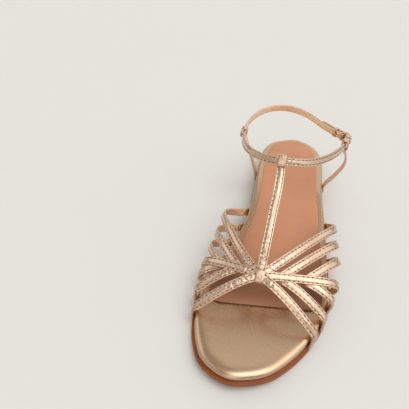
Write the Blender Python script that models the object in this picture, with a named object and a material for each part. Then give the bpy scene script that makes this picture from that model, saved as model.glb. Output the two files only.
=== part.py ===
"""Left strappy flat sandal, standing empty on its sole.

All sizes are millimetres and become metres when a mesh is made. A station is the distance
from the back of the heel along the sole. The toe points to -Y, the outer (lateral) side of
the foot is +X, the inner (medial) side is -X, and the floor is z = 0.
"""
import math

import bmesh
import bpy
import numpy as np
from mathutils import Vector

MM = 0.001
MERGE_DISTANCE = 0.01
UP = np.array([0.0, 0.0, 1.0])
SIDEWAYS = np.array([1.0, 0.0, 0.0])
LATERAL = 1.0
MEDIAL = -1.0

# Sole sizes
LENGTH = 250.0
HALF_LENGTH = LENGTH / 2.0
GAP = 0.3
OUTSOLE_THICKNESS = 3.2
OUTSOLE_CHAMFER = 0.6
HEEL_BREAST = 70.0
HEEL_HEIGHT = 6.0
HEEL_INSET = 0.5
HEEL_RISE = HEEL_HEIGHT + GAP
FLAT_START = 165.0
FLAT_END = 205.0
TOE_SPRING = 4.6
LEDGE = 2.0
FOOTBED_TOE_THICKNESS = 5.5
FOOTBED_HEEL_THICKNESS = 8.2
FOOTBED_EDGE_RADIUS = 3.0
FOOTBED_TOE_RADIUS = 4.2
TOE_RADIUS_STATION = 232.0
FOOTBED_LOWER_CHAMFER = 0.6
SOCK_THICKNESS = 1.0
SOCK_WAIST_MARGIN = 6.4
SOCK_BALL_MARGIN = 5.0
SOCK_FRONT_LATERAL = 189.0
SOCK_FRONT_MEDIAL = 198.0
SOCK_TAPER_START = 120.0
SOCK_TAPER_END = 175.0
SOLE_STEPS = 30
EDGE_TURNS = (0.0, 30.0, 60.0, 90.0)
SHARP_ANGLE = 40.0

# Outline of the outsole: station, lateral reach, medial reach
OUTLINE = (
    (0.0, 0.0, 0.0),
    (4.0, 12.0, 12.0),
    (12.0, 21.0, 22.3),
    (28.0, 27.6, 27.8),
    (48.0, 30.2, 28.0),
    (75.0, 32.2, 25.8),
    (100.0, 36.0, 24.2),
    (122.0, 39.8, 25.4),
    (145.0, 43.4, 31.0),
    (165.0, 45.6, 37.4),
    (182.0, 45.8, 40.8),
    (200.0, 42.2, 41.2),
    (216.0, 35.0, 38.4),
    (230.0, 26.0, 33.4),
    (240.0, 17.2, 27.4),
    (247.0, 5.4, 17.6),
    (LENGTH, -6.0, 6.0),
)

# Sections of the last under the vamp: station, lateral reach, medial reach, height of the
# widest line, height of the crown
LAST_SECTIONS = (
    (110.0, 41.0, 36.5, 27.0, 72.0),
    (125.0, 42.5, 38.0, 25.0, 66.0),
    (137.0, 45.0, 39.0, 22.0, 59.5),
    (149.0, 47.2, 39.8, 19.0, 52.5),
    (159.0, 48.4, 41.0, 17.0, 46.5),
    (170.0, 48.4, 42.2, 14.0, 40.0),
    (180.0, 46.6, 42.5, 11.5, 34.0),
    (187.0, 44.6, 42.2, 10.5, 30.0),
    (196.0, 41.8, 41.3, 10.0, 25.0),
    (210.0, 37.0, 38.8, 9.5, 20.0),
)

# Straps
STRAP_WIDTH = 6.0
STRAP_THICKNESS = 1.8
STRAP_EDGE_HEIGHT = 0.55
STRAP_CROWN_WIDTH = 0.5
STRAP_STEP = 4.0
TURN_SHARE = 0.4
TURN_HEIGHT = {LATERAL: 3.5, MEDIAL: 1.0}
KNOT_STATION = 186.5
SPINE_STAGGER = 2.5
SPINE_TUCK = 3.0
SPINE_WIDEST = {LATERAL: 168.0, MEDIAL: 171.0}
SPINE_ANCHOR = {LATERAL: 165.5, MEDIAL: 168.5}
SPINE_LIFT = 0.9
WALL_REACH = 0.6
TUCK_REACH = 0.5
TUCK_DROP = 0.6
TUCK_LEAN = 0.8
FOOT_SLANT = 1.1
SEAT_STEEPNESS = 0.5
VAMP_SHARES = (0.0, 0.25, 0.5, 0.75, 0.92)
SPINE_SHARES = (0.15, 0.35, 0.6, 0.9)

# Bow of the vamp straps, as shares of their length outwards and upwards
BACK_BOW = {LATERAL: (0.02, 0.03), MEDIAL: (0.065, 0.0)}
FRONT_BOW = {LATERAL: (0.0, 0.1), MEDIAL: (0.0, 0.1)}
SPINE_BOW = {LATERAL: (0.0, 0.02), MEDIAL: (0.0, 0.06)}

# Vamp straps: side, share of the spine from the knot to the side where the strap starts,
# station of the widest point, station at the sole
VAMP_STRAPS = (
    (LATERAL, 0.0, 124.0, 105.0),
    (LATERAL, 0.31, 136.5, 124.5),
    (LATERAL, 0.64, 149.0, 139.5),
    (LATERAL, 0.0, 207.0, 210.0),
    (LATERAL, 0.31, 193.0, 195.0),
    (LATERAL, 0.64, 180.0, 180.5),
    (MEDIAL, 0.0, 128.5, 104.0),
    (MEDIAL, 0.42, 143.5, 121.0),
    (MEDIAL, 0.72, 157.0, 137.0),
    (MEDIAL, 0.0, 208.0, 208.5),
    (MEDIAL, 0.44, 195.0, 198.0),
    (MEDIAL, 0.74, 180.5, 182.5),
)

# Knot band over the crossing, and the T-strap
BAND_WIDTH = 5.4
BAND_LENGTH = 9.5
BAND_HEIGHT = 4.6
T_STRAP_LIFT = 1.2
T_STRAP_X = -1.2
T_STRAP_WIDTH = 6.0
T_STRAP_STATIONS = (KNOT_STATION, 170.0, 150.0, 130.0)
T_LOOP_WIDTH = 6.5
T_LOOP_CLEARANCE = 0.9

# Ring of the ankle strap, from the buckle round the back: x, station, height, tilt of its face
ANKLE_RING = (
    (38.6, 53.5, 58.6, 3.0),
    (31.5, 45.3, 57.2, 3.0),
    (21.7, 36.3, 56.6, 3.0),
    (10.7, 26.6, 57.6, 3.0),
    (-0.3, 21.6, 58.9, 3.0),
    (-12.0, 20.9, 59.8, 3.0),
    (-23.9, 26.8, 60.3, 3.0),
    (-32.0, 37.8, 60.5, 5.0),
    (-36.7, 53.0, 60.5, 8.0),
    (-37.5, 69.0, 60.8, 12.0),
    (-35.3, 82.0, 62.0, 18.0),
    (-29.5, 96.5, 64.4, 25.0),
    (-19.7, 108.3, 67.8, 31.0),
    (-11.5, 115.0, 70.8, 35.0),
    (-1.5, 117.4, 72.6, 36.0),
    (9.5, 113.2, 70.6, 35.0),
    (18.5, 105.2, 67.2, 31.0),
    (26.7, 93.7, 64.0, 24.0),
    (35.3, 77.5, 61.3, 14.0),
    (39.6, 63.5, 59.6, 6.0),
)
ANKLE_WIDTH = 5.6
ANKLE_THICKNESS = 1.8
ANKLE_STEP = 4.5
TIP_SPREADS = (0.45, 0.85)
LOOP_CLEARANCE = 0.6
LOOP_WALL = 1.2
LOOP_JOIN = 0.8
LOOP_CORNER = 1.0
LOOP_CORNER_STEPS = 3

# Stays at the heel quarters
STAY_WIDTH = 5.0
STAY_THICKNESS = 1.8
STAY_STATION = {LATERAL: 62.0, MEDIAL: 60.5}
STAY_LOOP_STATION = {LATERAL: 64.5, MEDIAL: 69.0}

# Points of each stay between the sole and its loop: x, station, height
STAY_BENDS = {
    LATERAL: ((37.5, 62.0, 28.0), (42.8, 62.5, 42.0), (41.6, 63.5, 51.0)),
    MEDIAL: ((-29.5, 62.5, 29.0), (-33.4, 65.5, 44.0), (-36.0, 68.0, 54.0)),
}

# Buckle, measured from its rear bar along the strap towards the toe
BUCKLE_STATION = 51.0
BUCKLE_LENGTH = 7.6
BUCKLE_INNER_HEIGHT = 7.0
BUCKLE_WIRE = 1.5
BUCKLE_CORNER = 2.0
BAR_OFFSET = ANKLE_THICKNESS / 2.0
FRONT_BAR_OFFSET = ANKLE_THICKNESS + 2.0 * GAP + BUCKLE_WIRE / 2.0
EYE_WALL = 1.0
EYE_INNER_RADIUS = BUCKLE_WIRE / 2.0 + GAP
EYE_RADIUS = EYE_INNER_RADIUS + EYE_WALL
OVER_EYE_OFFSET = BAR_OFFSET + EYE_RADIUS + 1.3 * GAP
FREE_END_OFFSET = ANKLE_THICKNESS + 0.5
FREE_END_LENGTH = 27.0
PRONG_WIDTH = 1.3
PRONG_THICKNESS = 0.9
PRONG_ROLL = 300.0
PRONG_ROLL_STEPS = 9
PRONG_REACH_SHARES = (0.33, 0.66, 1.0)
PRONG_SLOT = PRONG_WIDTH + 2.0 * GAP
PRONG_SLOT_END = 5.8
PRONG_SLOT_MARGIN = 1.0
WIRE_SIDES = 8
KEEPER_DISTANCE = 8.0
KEEPER_WIDTH = 3.6
KEEPER_WALL = 1.0
STRAP_RISE_START = -6.6
STRAP_SETTLE_START = 2.0
STRAP_SETTLE_END = 5.5

COLOURS = {
    "tan leather": ((0.52, 0.20, 0.070), 0.55, 0.0),
    "champagne metallic leather": ((0.72, 0.52, 0.33), 0.32, 0.85),
    "pink-tan leather": ((0.56, 0.25, 0.15), 0.6, 0.0),
    "polished light-gold metal": ((0.86, 0.68, 0.36), 0.18, 1.0),
}


def smoothstep(value, start, end):
    """Rise smoothly from 0 at start to 1 at end."""
    part = np.clip((value - start) / (end - start), 0.0, 1.0)
    return part * part * (3.0 - 2.0 * part)


def unit(vector):
    """Return a vector, or each row of an array, at length one."""
    return vector / np.linalg.norm(vector, axis=-1, keepdims=True)


def smooth_curve(points, closed=False, samples=12):
    """Return a dense smooth curve through the points, with tangents weighted by the spacing."""
    points = np.asarray(points, float)
    if closed:
        points = np.vstack([points, points[:1]])
    spans = np.linalg.norm(np.diff(points, axis=0), axis=1)
    slopes = np.diff(points, axis=0) / spans[:, None]
    before = np.vstack([slopes[-1:] if closed else slopes[:1], slopes])
    after = np.vstack([slopes, slopes[:1] if closed else slopes[-1:]])
    before_span = np.concatenate([spans[-1:] if closed else spans[:1], spans])
    after_span = np.concatenate([spans, spans[:1] if closed else spans[-1:]])
    total = (before_span + after_span)[:, None]
    tangents = (before * after_span[:, None] + after * before_span[:, None]) / total
    curve = []
    for index, span in enumerate(spans):
        for t in np.linspace(0.0, 1.0, samples, endpoint=False):
            curve.append((2 * t**3 - 3 * t**2 + 1) * points[index]
                         + (t**3 - 2 * t**2 + t) * span * tangents[index]
                         + (3 * t**2 - 2 * t**3) * points[index + 1]
                         + (t**3 - t**2) * span * tangents[index + 1])
    curve.append(points[-1])
    return np.array(curve)


def arc_lengths(points):
    """Return the distance along a row of points."""
    return np.concatenate([[0.0], np.cumsum(np.linalg.norm(np.diff(points, axis=0), axis=1))])


def even_steps(points, extra, step):
    """Space points evenly along a curve, with the extra columns carried along."""
    lengths = arc_lengths(points)
    places = np.linspace(0.0, lengths[-1], max(3, int(round(lengths[-1] / step)) + 1))
    table = np.hstack([points, extra])
    spaced = np.column_stack([np.interp(places, lengths, column) for column in table.T])
    return spaced[:, :3], spaced[:, 3:]


def place(x, station, z):
    """Turn a station into a point of the shoe's frame."""
    return np.array([x, HALF_LENGTH - station, z])


# Heights along the sole
def outsole_bottom(station):
    """Arch rise to the heel, a flat spot under the ball, and toe spring."""
    rise = HEEL_RISE * smoothstep(station, FLAT_START, HEEL_BREAST)
    spring = np.clip((station - FLAT_END) / (LENGTH - FLAT_END), 0.0, 1.0)
    return rise + TOE_SPRING * spring**2


def ledge_height(station):
    """Top of the outsole."""
    return outsole_bottom(station) + OUTSOLE_THICKNESS


def footbed_thickness(station):
    """Thin under the toes, thicker under the heel."""
    extra = FOOTBED_HEEL_THICKNESS - FOOTBED_TOE_THICKNESS
    return FOOTBED_TOE_THICKNESS + extra * smoothstep(station, FLAT_START, HEEL_BREAST)


def footbed_bottom(station):
    """Underside of the footbed."""
    return ledge_height(station) + GAP


def footbed_top(station):
    """Top of the footbed."""
    return footbed_bottom(station) + footbed_thickness(station)


def footbed_radius(station):
    """Radius of the footbed's rounded edge, larger at the toe."""
    extra = FOOTBED_TOE_RADIUS - FOOTBED_EDGE_RADIUS
    return FOOTBED_EDGE_RADIUS + extra * smoothstep(station, FLAT_END, TOE_RADIUS_STATION)


def sock_margin(station):
    """Distance of the sock's edge from the outsole's edge."""
    extra = SOCK_BALL_MARGIN - SOCK_WAIST_MARGIN
    return SOCK_WAIST_MARGIN + extra * smoothstep(station, SOCK_TAPER_START, SOCK_TAPER_END)


# The outline and its offsets
def outline_curve():
    """Closed outline of the outsole: heel, lateral side, toe, medial side."""
    lateral = [(x, station) for station, x, _ in OUTLINE]
    medial = [(-x, station) for station, _, x in OUTLINE[-2:0:-1]]
    return smooth_curve(lateral + medial, closed=True, samples=16)


OUTLINE_CURVE = outline_curve()


def outline_normals():
    """Outward directions in plan along the outline."""
    before = np.roll(OUTLINE_CURVE[:-1], 1, axis=0)
    after = np.roll(OUTLINE_CURVE[:-1], -1, axis=0)
    along = unit(after - before)
    normals = np.column_stack([along[:, 1], -along[:, 0]])
    return np.vstack([normals, normals[:1]])


OUTLINE_NORMALS = outline_normals()
TOE_INDEX = int(np.argmax(OUTLINE_CURVE[:, 1]))


def edge(side, margin):
    """One side of the outline moved in by the margin, as points (x, station) from heel to toe."""
    if callable(margin):
        margin = margin(OUTLINE_CURVE[:, 1])[:, None]
    moved = OUTLINE_CURVE - margin * OUTLINE_NORMALS
    if side == LATERAL:
        return moved[:TOE_INDEX + 1]
    return moved[TOE_INDEX:][::-1]


def edge_x(side, margin, station):
    """Reach of the moved outline at a station."""
    line = edge(side, margin)
    return np.interp(station, line[:, 1], line[:, 0])


def edge_normal(side, station):
    """Outward direction of the outline at a station."""
    count = TOE_INDEX + 1
    line = edge(side, 0.0)
    normals = OUTLINE_NORMALS[:count] if side == LATERAL else OUTLINE_NORMALS[TOE_INDEX:][::-1]
    x = np.interp(station, line[:, 1], normals[:, 0])
    along = np.interp(station, line[:, 1], normals[:, 1])
    return unit(np.array([x, -along, 0.0]))


def sole_pairs(margin, front=None):
    """Lateral and medial points at matching steps, to the toe or to a straight front."""
    sides = []
    for side in (LATERAL, MEDIAL):
        line = edge(side, margin)
        turn = np.linspace(0.0, math.pi if front is None else math.pi / 2.0, SOLE_STEPS + 1)
        last = line[-1, 1] if front is None else front[side]
        share = (1.0 - np.cos(turn)) / (2.0 if front is None else 1.0)
        station = line[0, 1] + (last - line[0, 1]) * share
        x = np.interp(station, line[:, 1], line[:, 0])
        sides.append(np.column_stack([x, station]))
    return sides


# Mesh making
def finish_object(name, bm, material, parent):
    """Close a bmesh into a named object with its material."""
    bmesh.ops.triangulate(bm, faces=bm.faces)
    bmesh.ops.recalc_face_normals(bm, faces=bm.faces)
    mesh = bpy.data.meshes.new(name)
    bm.to_mesh(mesh)
    bm.free()
    mesh.shade_smooth()
    mesh.set_sharp_from_angle(angle=math.radians(SHARP_ANGLE))
    thing = bpy.data.objects.new(name, mesh)
    bpy.context.scene.collection.objects.link(thing)
    thing.parent = parent
    thing.data.materials.append(material)
    return thing


def add_rings(bm, rings, caps=True):
    """Skin a row of closed rings of points, with flat ends where asked."""
    loops = [[bm.verts.new(Vector(point) * MM) for point in ring] for ring in rings]
    count = len(loops[0])
    for lower, upper in zip(loops, loops[1:]):
        for index in range(count):
            following = (index + 1) % count
            bm.faces.new((lower[index], lower[following], upper[following], upper[index]))
    if caps:
        bm.faces.new(loops[0])
        bm.faces.new(loops[-1])
    return loops


def sole_solid(levels, front=None):
    """Build a sole layer from levels of (margin, height function), lowest first."""
    bm = bmesh.new()
    rings = []
    for margin, height in levels:
        lateral, medial = sole_pairs(margin, front)
        closing = medial[1:][::-1] if front else medial[1:-1][::-1]
        plan = np.vstack([lateral, closing])
        rings.append([place(x, station, height(station)) for x, station in plan])
    loops = add_rings(bm, rings, caps=False)
    for loop in (loops[0], loops[-1]):
        count = len(loop)
        for index in range(SOLE_STEPS):
            corners = [loop[index], loop[index + 1]]
            for partner in (-(index + 1) % count, -index % count):
                if loop[partner] not in corners:
                    corners.append(loop[partner])
            bm.faces.new(corners)
    return bm


def strap_section(width, thickness):
    """Flat back and rounded front of a folded strap: across, outwards."""
    half = width / 2.0
    crown = half * STRAP_CROWN_WIDTH
    edge_height = thickness * STRAP_EDGE_HEIGHT
    return ((-half, 0.0), (half, 0.0), (half, edge_height), (crown, thickness),
            (-crown, thickness), (-half, edge_height))


def sweep_rings(points, normals, width, thickness):
    """Rings of a strap along a path, its face turned to the normals."""
    along = unit(np.gradient(points, axis=0))
    outwards = unit(normals - np.sum(normals * along, axis=1)[:, None] * along)
    across = np.cross(along, outwards)
    rings = []
    for point, side, out in zip(points, across, outwards):
        rings.append([point + side * a + out * b for a, b in strap_section(width, thickness)])
    return rings


def strap_mesh(points, normals, width, thickness, step):
    """Strap along a smooth path through the points."""
    bm = bmesh.new()
    dense = smooth_curve(np.hstack([points, normals * 10.0]))
    path, facing = even_steps(dense[:, :3], dense[:, 3:], step)
    add_rings(bm, sweep_rings(path, unit(facing), width, thickness))
    return bm


def racetrack(half_across, half_out, radius):
    """Rounded rectangle: across, outwards."""
    corners = ((1, 1, 0.0), (-1, 1, 90.0), (-1, -1, 180.0), (1, -1, 270.0))
    points = []
    for sign_across, sign_out, start in corners:
        for turn in np.linspace(0.0, 90.0, LOOP_CORNER_STEPS + 1):
            angle = math.radians(start + turn)
            points.append((sign_across * (half_across - radius) + radius * math.cos(angle),
                           sign_out * (half_out - radius) + radius * math.sin(angle)))
    return points


def loop_mesh(origin, axis, across, outwards, half_across, half_out, length, wall):
    """Leather loop around a strap: a rounded tube with its bore along the axis."""
    bm = bmesh.new()
    radius = min(LOOP_CORNER, half_across, half_out)
    inner = racetrack(half_across, half_out, radius)
    outer = racetrack(half_across + wall, half_out + wall, radius + wall)
    rings = []
    for profile, end in ((inner, -0.5), (outer, -0.5), (outer, 0.5), (inner, 0.5), (inner, -0.5)):
        rings.append([origin + axis * length * end + across * a + outwards * b for a, b in profile])
    add_rings(bm, rings, caps=False)
    bmesh.ops.remove_doubles(bm, verts=bm.verts, dist=MERGE_DISTANCE * MM)
    return bm


def box_mesh(origin, axes, low, high):
    """Box between two corners given along three axes."""
    bm = bmesh.new()
    bmesh.ops.create_cube(bm, size=1.0)
    for vert in bm.verts:
        share = np.array(vert.co) + 0.5
        local = np.array(low) + share * (np.array(high) - np.array(low))
        vert.co = Vector(origin + local @ np.array(axes)) * MM
    return bm


def tube_mesh(points, radius, sides, flat_axis):
    """Round wire along a closed path that lies in the plane across the flat axis."""
    bm = bmesh.new()
    points = np.asarray(points, float)
    along = unit(np.roll(points, -1, axis=0) - np.roll(points, 1, axis=0))
    across = np.cross(along, flat_axis)
    rings = []
    for point, side in zip(points, across):
        ring = []
        for turn in np.arange(sides) * 2.0 * math.pi / sides:
            ring.append(point + radius * (math.cos(turn) * side + math.sin(turn) * flat_axis))
        rings.append(ring)
    add_rings(bm, rings + rings[:1], caps=False)
    bmesh.ops.remove_doubles(bm, verts=bm.verts, dist=MERGE_DISTANCE * MM)
    return bm


def combine(name, base, others, operation, material, parent):
    """Join or cut the base with hidden helper solids."""
    helpers = bpy.data.collections.new(name + "_helpers")
    bpy.context.scene.collection.children.link(helpers)
    for index, bm in enumerate(others):
        helper = finish_object(f"{name}_{operation.lower()}_{index}", bm, material, parent)
        helper.hide_render = True
        helper.display_type = 'WIRE'
        bpy.context.scene.collection.objects.unlink(helper)
        helpers.objects.link(helper)
    modifier = base.modifiers.new(operation.title(), 'BOOLEAN')
    modifier.operation = operation
    modifier.solver = 'EXACT'
    modifier.operand_type = 'COLLECTION'
    modifier.collection = helpers
    return base


# The last and the vamp straps
LAST_TABLE = smooth_curve(LAST_SECTIONS)


def last_column(column, station):
    """Read one column of the last at a station."""
    return np.interp(station, LAST_TABLE[:, 0], LAST_TABLE[:, column])


def crown_point(station):
    """Point on the crown of the last."""
    return place(T_STRAP_X, station, last_column(4, station))


def crown_normal(station):
    """Upward direction of the last at its crown."""
    rising = crown_point(station - 1.0) - crown_point(station + 1.0)
    return unit(np.cross(SIDEWAYS, rising))


def widest_point(side, station):
    """Point on the widest line of the last."""
    reach = last_column(1 if side == LATERAL else 2, station)
    return place(side * reach, station, last_column(3, station))


def tight_strap(start, end, start_normal, end_normal, shares, bow):
    """Points and normals of a strap drawn between two points, with a bow."""
    points = []
    normals = []
    swell = np.linalg.norm(end - start) * (bow[0] * end_normal + bow[1] * UP)
    for share in shares:
        normal = unit(start_normal * (1.0 - share) + end_normal * share)
        points.append(start + (end - start) * share + swell * 4.0 * share * (1.0 - share))
        normals.append(normal)
    return points, normals


def over_widest(side, station, anchor):
    """Point that a strap aims for above the widest line, so that it turns down in a round bend."""
    widest = widest_point(side, station)
    inwards = abs(widest[0]) - abs(edge_x(side, LEDGE - GAP, anchor))
    return widest + UP * min(TURN_HEIGHT[side], TURN_SHARE * max(inwards, 0.0))


def spine_half(side, shares):
    """Points and normals of the spine from the knot to its widest point on one side."""
    station = SPINE_WIDEST[side]
    return tight_strap(crown_point(KNOT_STATION), over_widest(side, station, SPINE_ANCHOR[side]),
                       crown_normal(KNOT_STATION), edge_normal(side, station), shares, SPINE_BOW[side])


def strap_foot(side, widest_station, anchor):
    """Lower end of a strap: from the widest line, tucked in to the footbed's wall and the ledge."""
    outermost = widest_point(side, widest_station)
    reach = abs(outermost[0])
    widest = outermost[2]
    foot_height = ledge_height(anchor) + GAP
    wall = abs(edge_x(side, LEDGE - GAP, anchor))
    wall_height = ledge_height(anchor) + WALL_REACH * footbed_thickness(anchor)
    tuck_x = wall + (reach - wall) * TUCK_REACH
    tuck_z = widest + (wall_height - widest) * TUCK_DROP
    slope = (anchor - widest_station) / (widest - foot_height)
    tuck_station = widest_station + slope * (widest - tuck_z)
    wall_slope = np.clip(slope, -FOOT_SLANT, FOOT_SLANT)
    wall_station = anchor - wall_slope * (wall_height - foot_height)
    wall_x = edge_x(side, LEDGE - GAP, wall_station)
    normal = edge_normal(side, anchor)
    leaning = (reach - wall) / max(1.0, widest - wall_height)
    points = [outermost,
              place(side * tuck_x, tuck_station, tuck_z),
              place(wall_x, wall_station, wall_height),
              place(side * wall, anchor, foot_height)]
    normals = [edge_normal(side, widest_station),
               unit(normal - UP * min(1.0, TUCK_LEAN * leaning)), normal, normal]
    return points, normals


def seat_on_ledge(bm, anchor, side):
    """Run the end of a strap on along its edges to the slope of the ledge under it."""
    goal = Vector(place(edge_x(side, LEDGE - GAP, anchor), anchor, ledge_height(anchor))) * MM
    end = sorted(bm.verts, key=lambda vert: (vert.co - goal).length)[:len(strap_section(1.0, 1.0))]
    for vert in end:
        others = [e.other_vert(vert) for e in vert.link_edges if e.other_vert(vert) not in end]
        before = min(others, key=lambda other: (other.co - vert.co).length)
        along = (vert.co - before.co).normalized()
        drop = vert.co.z - (ledge_height(HALF_LENGTH - vert.co.y / MM) + GAP) * MM
        vert.co += along * (drop / max(-along.z, SEAT_STEEPNESS))
        vert.co.z = (ledge_height(HALF_LENGTH - vert.co.y / MM) + GAP) * MM


def vamp_path(side, spine_share, widest_station, anchor):
    """Points and normals of a strap from the spine over the last to the sole."""
    starts, start_normals = spine_half(side, [spine_share])
    start = starts[0]
    if spine_share > 0.0:
        ahead = 1.0 if widest_station > SPINE_WIDEST[side] else -1.0
        rising = np.cross(SIDEWAYS, start_normals[0])
        start = start - unit(rising) * ahead * SPINE_STAGGER * np.sign(rising[1])
    aim = over_widest(side, widest_station, anchor)
    start = start - unit(aim - start) * SPINE_TUCK
    bow = BACK_BOW[side] if aim[1] > start[1] else FRONT_BOW[side]
    points, normals = tight_strap(start, aim, start_normals[0], edge_normal(side, widest_station),
                                  VAMP_SHARES, bow)
    foot_points, foot_normals = strap_foot(side, widest_station, anchor)
    return np.array(points + foot_points), np.array(normals + foot_normals)


def vamp_strap(side, spine_share, widest_station, anchor):
    """One vamp strap, seated on the ledge."""
    points, normals = vamp_path(side, spine_share, widest_station, anchor)
    bm = strap_mesh(points, normals, STRAP_WIDTH, STRAP_THICKNESS, STRAP_STEP)
    seat_on_ledge(bm, anchor, side)
    return bm


def spine_path():
    """Points and normals of the cross strap from the medial ledge over the crown to the lateral."""
    halves = []
    for side in (MEDIAL, LATERAL):
        points, normals = spine_half(side, SPINE_SHARES)
        points = [point + SPINE_LIFT * normal for point, normal in zip(points, normals)]
        foot_points, foot_normals = strap_foot(side, SPINE_WIDEST[side], SPINE_ANCHOR[side])
        halves.append((points + foot_points, normals + foot_normals))
    points = np.array(halves[0][0][::-1] + halves[1][0])
    normals = np.array(halves[0][1][::-1] + halves[1][1])
    return points, normals


def spine_strap():
    """Cross strap, seated on both ledges."""
    points, normals = spine_path()
    bm = strap_mesh(points, normals, STRAP_WIDTH, STRAP_THICKNESS, STRAP_STEP)
    for side in (MEDIAL, LATERAL):
        seat_on_ledge(bm, SPINE_ANCHOR[side], side)
    return bm


def knot_band():
    """Smooth band folded round the crossing, along the foot."""
    crown = crown_point(KNOT_STATION)
    normal = crown_normal(KNOT_STATION)
    along = np.cross(normal, SIDEWAYS)
    middle = crown + normal * (STRAP_THICKNESS + SPINE_LIFT) / 2.0
    bm = bmesh.new()
    profile = racetrack(BAND_LENGTH / 2.0, BAND_HEIGHT / 2.0, BAND_HEIGHT / 2.0)
    rings = []
    for end in (-0.5, 0.5):
        rings.append([middle + SIDEWAYS * BAND_WIDTH * end + along * a + normal * b for a, b in profile])
    add_rings(bm, rings)
    return bm


# The ankle ring
RING_CURVE = smooth_curve([(x, HALF_LENGTH - station, z, tilt) for x, station, z, tilt in ANKLE_RING],
                          closed=True, samples=16)
RING_LENGTHS = arc_lengths(RING_CURVE[:, :3])
RING_TURN = RING_LENGTHS[-1]


def ring_point(distance):
    """Point of the ankle ring at a distance from its start."""
    spot = distance % RING_TURN
    return np.array([np.interp(spot, RING_LENGTHS, RING_CURVE[:, axis]) for axis in range(3)])


def ring_frame(distance):
    """Point, direction, face normal and width direction of the ankle ring."""
    point = ring_point(distance)
    along = unit(ring_point(distance + 1.0) - ring_point(distance - 1.0))
    level = unit(np.cross(UP, along))
    middle = RING_CURVE[:, :3].mean(axis=0)
    if level @ (point - middle) < 0.0:
        level = -level
    tilt = math.radians(np.interp(distance % RING_TURN, RING_LENGTHS, RING_CURVE[:, 3]))
    normal = math.cos(tilt) * level + math.sin(tilt) * UP
    normal = unit(normal - (normal @ along) * along)
    across = np.cross(along, normal)
    if across[2] < 0.0:
        across = -across
    return point, along, normal, across


def ring_distance(side, station):
    """Distance along the ring where it passes a station on one side."""
    best = None
    for distance in np.arange(0.0, RING_TURN, 0.5):
        point = ring_point(distance)
        miss = abs(HALF_LENGTH - station - point[1])
        if point[0] * side > 15.0 and (best is None or miss < best[0]):
            best = (miss, distance)
    return best[1]


EYE_DISTANCE = ring_distance(LATERAL, BUCKLE_STATION)
FRONT_DISTANCE = RING_LENGTHS[int(np.argmin(RING_CURVE[:, 1]))]


def strap_offset(distance):
    """Outward offset of the ankle strap: level for one turn, then through the buckle."""
    from_eye = distance - RING_TURN
    rise = smoothstep(from_eye, STRAP_RISE_START, 0.0)
    settle = smoothstep(from_eye, STRAP_SETTLE_START, STRAP_SETTLE_END)
    return OVER_EYE_OFFSET * rise + (FREE_END_OFFSET - OVER_EYE_OFFSET) * settle


def ankle_path():
    """Points and normals of the ankle strap from its eye round the ankle to its free tip."""
    start = EYE_RADIUS - EYE_WALL * 0.5
    total = RING_TURN + FREE_END_LENGTH
    dense = np.arange(start, total, 0.5)
    points = []
    normals = []
    for distance in dense:
        point, _, normal, _ = ring_frame(EYE_DISTANCE + distance)
        points.append(point + normal * strap_offset(distance))
        normals.append(normal)
    return np.array(points), np.array(normals)


def buckle_axes():
    """Rear bar's centre, with axes to the front, outwards and up."""
    point, along, normal, across = ring_frame(EYE_DISTANCE)
    return point + normal * BAR_OFFSET, np.array([-along, normal, across])


def in_buckle(forwards, outwards, upwards):
    """Point given along the buckle's own axes."""
    origin, axes = buckle_axes()
    return origin + np.array([forwards, outwards, upwards]) @ axes


def ankle_strap_meshes():
    """Strap with the eye that holds the buckle's bar."""
    points, normals = ankle_path()
    path, facing = even_steps(points, normals, ANKLE_STEP)
    strap = bmesh.new()
    rings = sweep_rings(path, unit(facing), ANKLE_WIDTH, ANKLE_THICKNESS)
    for from_tip, spread in enumerate(TIP_SPREADS, start=1):
        ring = np.array(rings[-from_tip])
        middle = ring.mean(axis=0)
        rings[-from_tip] = middle + (ring - middle) * spread
    add_rings(strap, rings)
    origin, axes = buckle_axes()
    eye = loop_mesh(origin, axes[2], axes[0], axes[1], EYE_INNER_RADIUS, EYE_INNER_RADIUS,
                    ANKLE_WIDTH, EYE_WALL)
    return strap, eye


def prong_room():
    """Slot in the eye and the strap where the prong passes."""
    origin, axes = buckle_axes()
    half = PRONG_SLOT / 2.0
    low = (-EYE_RADIUS - GAP, -EYE_RADIUS - PRONG_SLOT_MARGIN, -half)
    high = (PRONG_SLOT_END, OVER_EYE_OFFSET + ANKLE_THICKNESS + PRONG_SLOT_MARGIN, half)
    return box_mesh(origin, axes, low, high)


def stay_mesh(side):
    """Upright strap from the ledge to the underside of its loop, and the loop."""
    distance = ring_distance(side, STAY_LOOP_STATION[side])
    point, along, normal, across = ring_frame(distance)
    centre = point + normal * ANKLE_THICKNESS / 2.0
    half_across = ANKLE_WIDTH / 2.0 + LOOP_CLEARANCE
    half_out = ANKLE_THICKNESS / 2.0 + LOOP_CLEARANCE
    loop = loop_mesh(centre, along, across, normal, half_across, half_out, STAY_WIDTH, LOOP_WALL)
    anchor = STAY_STATION[side]
    outwards = edge_normal(side, anchor)
    wall = edge_x(side, LEDGE - GAP, anchor)
    wall_height = ledge_height(anchor) + WALL_REACH * footbed_thickness(anchor)
    foot = [place(wall, anchor, ledge_height(anchor) + GAP), place(wall, anchor, wall_height)]
    bends = [place(*bend) for bend in STAY_BENDS[side]]
    below_loop = half_across + LOOP_WALL * LOOP_JOIN
    top = centre - across * below_loop - normal * STAY_THICKNESS / 2.0
    points = np.array(foot + bends + [top])
    normals = [outwards, outwards]
    for before, after in zip(points[1:-2], points[3:]):
        rising = unit(after - before)
        flat = outwards - (outwards @ rising) * rising
        normals.append(unit(flat))
    normals.append(normal)
    upright = strap_mesh(points, np.array(normals), STAY_WIDTH, STAY_THICKNESS, STRAP_STEP)
    seat_on_ledge(upright, anchor, side)
    return loop, upright


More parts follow.
